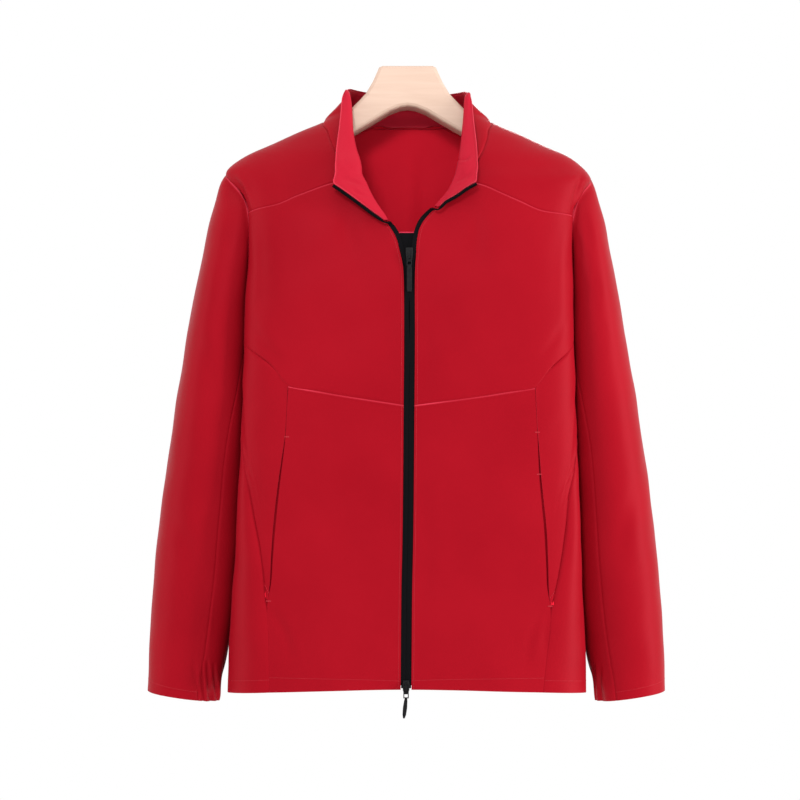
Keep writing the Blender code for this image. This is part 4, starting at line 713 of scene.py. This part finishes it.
# The turned-over corners are the same cloth with a brighter colour, painted light.
lit_collar_facing = softshell("red collar facing", (0.330, 0.0085, 0.0210), (0.362, 0.0100, 0.0240))
collar = Cut(cut_of("collar", (0, 1, 0), walls=(CLOTH, COLLAR_WALL)), step=1.6,
             seams=["bottom"])
ends = np.minimum(collar.across, collar.across[-1] - collar.across)
share = np.maximum(ease(ends, *FLAPS), FLAT_SEAM)
past = collar.down > collar.tall
seam = collar.points[np.argmin(np.abs(collar.down - collar.tall))][None]
collar.points[past] = seam + share[None, :, None] * (collar.points[past] - seam)
far, deep, wide = EDGE_STITCH
collar.raise_by(deep * bell(collar.away["top"] - far, wide))
collar.seams = []           # worn leaves the neck seam, which is turned in below by share
worn(collar, COLLAR_CREASES)
away = collar.away["bottom"]
collar.raise_by(-share * (SEAM_SINK * bell(np.maximum(away, 0), SEAM_REACH)
                          + SEAM_SLOPE * np.maximum(-away, 0)))
collar.seams = ["bottom"]
# A highlight is painted along the collar's top edge, on both of its faces.
pale, wide = EDGE_HIGHLIGHT
collar.wear = pale * bell(collar.away["top"], wide)
collar_wall = COLLAR_WALL * (TIP[0] + (1 - TIP[0]) * ease(ends, over=TIP[1]))
cloth_piece("collar", collar, red, wall=collar_wall, within=lit_collar_facing,
            facing=collar.normal, highlight_within=1.0)


# ---------------------------------------------------------------- the zip
# A reverse coil zip: the coil is sewn behind the tapes, so the closed zip shows two
# plain black tapes that meet in the middle. A wind guard of the same tape lies behind.

TAPE_WALL = 1.3
TAPE_LINES = (0.0, 0.5, 1.1)
COIL_PITCH = 1.5
COIL_LONG = 2.4             # across the tape
COIL_THICK = 0.8
COIL_PROUD = 0.5            # the coil reaches this far past the tape's edge
COIL_START = {"right": 0.25, "left": 0.75}   # so that the turns of both tapes mesh
INWARDS = 1.0               # a line this far in shows which way is across the tape
CLOSED = 300                # from the hem up, the zip is closed for at least this length
BINDING_DEEP = 2.0
BINDING_PROUD = 0.3
BINDING_PAST = 0.5          # share of a cell by which it passes the guard's end
BINDING_LINES = 0.5         # distance between its lines of points
PILL_END = [(-0.5, 0.0), (-0.46, 0.55), (-0.36, 0.92)]   # places and sizes of its rings
CREST = (0.16, 1.9, 1.1)    # height, distance from the free edge and width of its swell


def line_at(cut, edge, away):
    """Points and normals of a cut on a line at a distance from one of its edges."""
    points, normal, places = cut.points, cut.normal, cut.down
    if edge in ("first", "last"):
        points, normal = points.transpose(1, 0, 2), normal.transpose(1, 0, 2)
        places = cut.across
    place = away if edge in ("top", "first") else places[-1] - away
    i = int(np.clip(np.searchsorted(places, place) - 1, 0, len(places) - 2))
    part = (place - places[i]) / (places[i + 1] - places[i])
    return (points[i] * (1 - part) + points[i + 1] * part,
            normal[i] * (1 - part) + normal[i + 1] * part)


def evenly(points, normal, pitch, start=0.5):
    """Places, directions and normals at an even pitch along a line of points."""
    steps = np.linalg.norm(np.diff(points, axis=0), axis=1)
    along = np.concatenate([[0], np.cumsum(steps)])
    at = np.arange(start * pitch, along[-1], pitch)
    places = np.stack([np.interp(at, along, points[:, axis]) for axis in range(3)], axis=1)
    facing = np.stack([np.interp(at, along, normal[:, axis]) for axis in range(3)], axis=1)
    ahead = np.gradient(places, axis=0)
    return places, ahead / np.linalg.norm(ahead, axis=1)[:, None], facing


def repeats_group():
    """Geometry nodes that lay one item on each point, turned to the point's directions."""
    group = bpy.data.node_groups.new("laid repeats", "GeometryNodeTree")
    face = group.interface
    for name, kind in (("Geometry", "Geometry"), ("Item", "Object"), ("Material", "Material")):
        face.new_socket(name, in_out="INPUT", socket_type="NodeSocket" + kind)
    face.new_socket("Geometry", in_out="OUTPUT", socket_type="NodeSocketGeometry")
    nodes = group.nodes
    given = nodes.new("NodeGroupInput")
    made = nodes.new("NodeGroupOutput")
    item = nodes.new("GeometryNodeObjectInfo")
    laid = nodes.new("GeometryNodeInstanceOnPoints")
    turn = nodes.new("FunctionNodeAxesToRotation")
    turn.primary_axis = "X"
    turn.secondary_axis = "Z"
    for name, socket in (("along", "Primary Axis"), ("facing", "Secondary Axis")):
        read = nodes.new("GeometryNodeInputNamedAttribute")
        read.data_type = "FLOAT_VECTOR"
        read.inputs["Name"].default_value = name
        group.links.new(read.outputs["Attribute"], turn.inputs[socket])
    real = nodes.new("GeometryNodeRealizeInstances")
    paint = nodes.new("GeometryNodeSetMaterial")
    for source, out, target, into in (
            (given, "Item", item, "Object"), (given, "Geometry", laid, "Points"),
            (item, "Geometry", laid, "Instance"), (turn, "Rotation", laid, "Rotation"),
            (laid, "Instances", real, "Geometry"), (real, "Geometry", paint, "Geometry"),
            (given, "Material", paint, "Material"), (paint, "Geometry", made, "Geometry")):
        group.links.new(source.outputs[out], target.inputs[into])
    return group


def pill(name, long, wide, tall, sides=8):
    """A closed bar with rounded ends along X: a stitch, a tack or a turn of the coil."""
    rings = PILL_END + [(0.0, 1.0)] + [(-at, size) for at, size in reversed(PILL_END)]
    form = bmesh.new()
    rows = []
    for at, size in rings:
        count = 1 if size == 0 else sides
        rows.append([form.verts.new((at * long * MM, size * wide / 2 * MM * np.cos(turn),
                                     size * tall / 2 * MM * np.sin(turn)))
                     for turn in np.arange(count) * 2 * np.pi / sides])
    for row, ahead in zip(rows[:-1], rows[1:]):
        for k in range(sides):
            corners = [row[k % len(row)], row[(k + 1) % len(row)],
                       ahead[(k + 1) % len(ahead)], ahead[k % len(ahead)]]
            form.faces.new(list(dict.fromkeys(corners)))
    bmesh.ops.recalc_face_normals(form, faces=form.faces)
    mesh = bpy.data.meshes.new(name)
    form.to_mesh(mesh)
    form.free()
    mesh.shade_smooth()
    item = bpy.data.objects.new(name, mesh)
    bpy.context.scene.collection.objects.link(item)
    return item


def lay_repeats(name, places, along, facing, item, material, body="jacket"):
    """One piece of many items: the places become points that carry their directions."""
    mesh = bpy.data.meshes.new(name + "_points")
    mesh.vertices.add(len(places))
    mesh.vertices.foreach_set("co", (places * MM).ravel())
    for key, values in (("along", along), ("facing", facing)):
        layer = mesh.attributes.new(key, "FLOAT_VECTOR", "POINT")
        layer.data.foreach_set("vector", np.ascontiguousarray(values, dtype=float).ravel())
    piece = bpy.data.objects.new(name, mesh)
    bpy.context.scene.collection.objects.link(piece)
    modifier = piece.modifiers.new("repeats", "NODES")
    modifier.node_group = REPEATS
    sockets = {socket.name: socket.identifier for socket in REPEATS.interface.items_tree
               if socket.in_out == "INPUT"}
    modifier[sockets["Item"]] = item
    modifier[sockets["Material"]] = material
    graph = bpy.context.evaluated_depsgraph_get()
    made = bpy.data.meshes.new_from_object(piece.evaluated_get(graph))
    made.name = name
    piece.modifiers.remove(modifier)
    piece.data = made
    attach(piece, body)


def zip_black():
    """Black woven zip tape with fine ribs across it."""
    material, tree, shader = new_material("zip black", Roughness=0.6, Specular_IOR_Level=0.035)
    ribs = texture(tree, "Wave", "UV", Scale=380.0, Distortion=0.4)
    ribs.bands_direction = "Y"
    tint(tree, ribs, shader.inputs["Base Color"],
         (0.0014, 0.0013, 0.0018), (0.0032, 0.0030, 0.0040))
    bump(tree, ribs.outputs["Fac"], shader, Strength=0.25, Distance=0.0002)
    return material


def dark_metal():
    """Blackened zinc of the sliders and pulls, with small scratches in its gloss."""
    material, tree, shader = new_material("dark metal", Metallic=0.6, Specular_IOR_Level=0.06)
    grain = texture(tree, "Noise", Scale=420.0, Detail=4.0)
    tint(tree, grain, shader.inputs["Base Color"],
         (0.0060, 0.0060, 0.0066), (0.0180, 0.0175, 0.0185))
    gloss(tree, grain, shader, To_Min=0.26, To_Max=0.42)
    return material


REPEATS = repeats_group()
black = zip_black()
metal = dark_metal()
coil = pill("coil_turn", COIL_LONG, COIL_THICK, COIL_THICK)
for name in SIDES:
    tape = Cut(cut_of("zip_tape_" + name, FRONT, walls=(TAPE_WALL,)), step=2.2, seams=[],
               margin=TAPE_LINES)
    low = tape.points[tape.down > tape.down[-1] - CLOSED]
    free = "first" if abs(low[:, 0, 0]).mean() < abs(low[:, -1, 0]).mean() else "last"
    high, place, wide = CREST
    tape.raise_by(high * bell(tape.away[free] - place, wide))
    cloth_piece("zip_tape_" + name, tape, black, TAPE_WALL)
    edge, normal = line_at(tape, free, 0.0)
    inner, _ = line_at(tape, free, INWARDS)
    places, along, facing = evenly(edge, normal, COIL_PITCH, COIL_START[name])
    inwards, _, _ = evenly(inner, normal, COIL_PITCH, COIL_START[name])
    count = min(len(places), len(inwards))
    towards = inwards[:count] - places[:count]
    towards = towards - (towards * along[:count]).sum(axis=1)[:, None] * along[:count]
    towards /= np.linalg.norm(towards, axis=1)[:, None]
    places = (places[:count] + towards * (COIL_LONG / 2 - COIL_PROUD)
              - facing[:count] * (TAPE_WALL + COIL_THICK / 2))
    lay_repeats("coil_" + name, places, towards, facing[:count], coil, black)
bpy.data.objects.remove(coil)

guard = Cut(cut_of("zip_guard", FRONT, walls=(THIN,)), step=4.0, seams=[], margin=TAPE_LINES)
cloth_piece("zip_guard", guard, black, THIN)
binding = softshell("pink binding", (0.40, 0.020, 0.045), (0.46, 0.026, 0.055))
top = guard.points[0] + (guard.points[0] - guard.points[1]) * BINDING_PAST
bound = np.concatenate([top[None], guard.points[guard.down < BINDING_DEEP]])
facing = normals(bound)
bound = bound + BINDING_PROUD * facing
mesh = wall_mesh("guard_binding", bound, bound - (THIN + 2 * BINDING_PROUD) * facing,
                 np.arange(len(bound)) * BINDING_LINES, guard.across)
add_piece("guard_binding", mesh, binding)
for node in ("slider_upper", "slider_lower", "pull_upper", "pull_lower"):
    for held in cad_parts[node].material_slots:
        held.material = metal


# ---------------------------------------------------------------- the sewing
# Rows of top stitches in red thread: round the collar's edge, above the hem and the
# cuffs and beside the zip, and bar tacks on the lower fronts, beside the pockets.

STITCH_PITCH = 3.0
STITCH_LONG = 2.3
THREAD = 0.42
THREAD_PROUD = 0.15         # its middle stands out of the cloth by this share of it
HEM_DEEP = 14.5
CUFF_DEEP = 13.0
BESIDE_ZIP = 2.6
THREAD_SIDES = 6
TACK_LONG = 6.5
TACK_THICK = 0.5
TACK_PROUD = 0.1
TACK_ROWS = (-0.45, 0.0, 0.45)
TACKS = {"right": [(-147, -461.7), (-170, -662)],
         "left": [(159.5, -456), (161.5, -506), (174, -667)]}


def thread_red():
    """Red polyester thread, a little lighter and darker along its twist."""
    material, tree, shader = new_material("red thread", Roughness=0.55, Specular_IOR_Level=0.3)
    twist = texture(tree, "Noise", Scale=900.0)
    tint(tree, twist, shader.inputs["Base Color"], (0.30, 0.006, 0.014), (0.40, 0.012, 0.024))
    return material


def sew(name, line):
    """A row of stitches on a line of a cut, half sunk into the cloth."""
    points, normal = line
    places, along, facing = evenly(points, normal, STITCH_PITCH)
    facing = facing / np.linalg.norm(facing, axis=1)[:, None]
    places = places + facing * (THREAD * THREAD_PROUD)
    lay_repeats(name, places, along, facing, stitch, thread)


thread = thread_red()
stitch = pill("stitch", STITCH_LONG, THREAD, THREAD, THREAD_SIDES)
points, normal = line_at(collar, "top", EDGE_STITCH[0])
sew("stitches_collar", (points - collar_wall[:, None] * normal, -normal))
for name, side in SIDES.items():
    near_zip = "last" if side < 0 else "first"
    sew("stitches_zip_" + name, line_at(LOWERS[name], near_zip, BESIDE_ZIP))
    sew("stitches_chest_" + name, line_at(CHESTS[name], near_zip, BESIDE_ZIP))
    for place, cut, deep in (("hem", LOWERS, HEM_DEEP), ("side_hem", SIDE_FRONTS, HEM_DEEP),
                             ("panel_hem", PANELS, HEM_DEEP), ("cuff", SLEEVES, CUFF_DEEP)):
        sew("stitches_" + place + "_" + name, line_at(cut[name], "bottom", deep))
sew("stitches_back_hem", line_at(back, "bottom", HEM_DEEP))
bpy.data.objects.remove(stitch)
tack = pill("tack", TACK_LONG, TACK_THICK, TACK_THICK, THREAD_SIDES)
for name, tacked in TACKS.items():
    cut = LOWERS[name]
    places, along, facing = [], [], []
    for x, z in tacked:
        nearest = np.hypot(cut.points[..., 0] - x, cut.points[..., 2] - z).argmin()
        at = cut.points.reshape(-1, 3)[nearest]
        normal = cut.normal.reshape(-1, 3)[nearest]
        level = np.cross((0, 0, 1), normal)
        level /= np.linalg.norm(level)
        for row in TACK_ROWS:
            places.append(at + TACK_PROUD * normal + row * np.cross(normal, level))
            along.append(level)
            facing.append(normal)
    lay_repeats("tacks_" + name, *map(np.array, (places, along, facing)), tack, thread)
bpy.data.objects.remove(tack)


# ---------------------------------------------------------------- the hanger
# A flat wooden hanger of pale beech under clear varnish, sawn from one board with the
# grain along its arms. Its head stands out of the collar, and the shoulders rest on it.

def beech():
    """Pale beech, with its grain stretched along X."""
    material, tree, shader = new_material("pale beech", Roughness=0.45, Specular_IOR_Level=0.3)
    place = tree.nodes.new("ShaderNodeTexCoord")
    stretch = tree.nodes.new("ShaderNodeMapping")
    set_inputs(stretch, Scale=(6.0, 60.0, 70.0))
    tree.links.new(place.outputs["Object"], stretch.inputs["Vector"])
    grain = tree.nodes.new("ShaderNodeTexNoise")
    set_inputs(grain, Scale=2.2, Detail=6.0, Distortion=0.6)
    tree.links.new(stretch.outputs["Vector"], grain.inputs["Vector"])
    tint(tree, grain, shader.inputs["Base Color"],
         (0.478, 0.335, 0.258), (0.515, 0.368, 0.288), ends=(0.32, 0.68))
    bump(tree, grain.outputs["Fac"], shader, Strength=0.06, Distance=0.0003)
    return material


wood = beech()
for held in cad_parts["hanger"].material_slots:
    held.material = wood


# ---------------------------------------------------------------- the studio
# A plain pale floor well under the hem, soft light from both sides, the front, above
# and behind, and a camera at the height of the chest, looking straight at the front.

CAMERA_AWAY = 2570
CAMERA_HEIGHT = -416
LENS = 92.2
SENSOR = 36
SHIFT = -0.0094
FLOOR_HEIGHT = -1125
FLOOR_HALF = 800            # from its middle to its edge

form = bmesh.new()
bmesh.ops.create_grid(form, x_segments=2, y_segments=2, size=FLOOR_HALF * MM)
for vert in form.verts:
    vert.co.z = FLOOR_HEIGHT * MM
mesh = bpy.data.meshes.new("floor")
form.to_mesh(mesh)
form.free()
floor = bpy.data.objects.new("floor", mesh)
bpy.context.scene.collection.objects.link(floor)
pale, tree, shader = new_material("pale floor", Roughness=0.8)
mottle = texture(tree, "Noise", Scale=3.0)
tint(tree, mottle, shader.inputs["Base Color"], (0.84, 0.84, 0.83), (0.88, 0.88, 0.87))
mesh.materials.append(pale)

Lamp = namedtuple("Lamp", "name place wide tall power")
LAMPS = [
    Lamp("left strip", (-1750, -650, -300), 300, 1900, 13),
    Lamp("right strip", (1750, -650, -300), 300, 1900, 42),
    Lamp("front", (-420, -2250, 560), 380, 380, 24),
    Lamp("top", (0, -400, 1500), 900, 900, 9),
    Lamp("rear", (350, 2500, 700), 600, 600, 20),
]
middle = Vector((0, 0, CAMERA_HEIGHT)) * MM
for row in LAMPS:
    light = bpy.data.lights.new(row.name, "AREA")
    light.shape = "RECTANGLE"
    light.size = row.wide * MM
    light.size_y = row.tall * MM
    light.energy = row.power
    lamp = bpy.data.objects.new(row.name, light)
    lamp.location = Vector(row.place) * MM
    lamp.rotation_euler = (middle - lamp.location).to_track_quat("-Z", "Y").to_euler()
    bpy.context.scene.collection.objects.link(lamp)

world = bpy.data.worlds.new("studio")
world.use_nodes = True
set_inputs(world.node_tree.nodes["Background"], Color=(1, 1, 1, 1), Strength=1.0)
bpy.context.scene.world = world
bpy.context.scene.view_settings.view_transform = "Standard"

view = bpy.data.cameras.new("camera")
view.lens = LENS
view.sensor_width = SENSOR
view.shift_x = SHIFT
camera = bpy.data.objects.new("camera", view)
camera.location = Vector((0, -CAMERA_AWAY, CAMERA_HEIGHT)) * MM
camera.rotation_euler = (np.pi / 2, 0, 0)
bpy.context.scene.collection.objects.link(camera)
bpy.context.scene.camera = camera
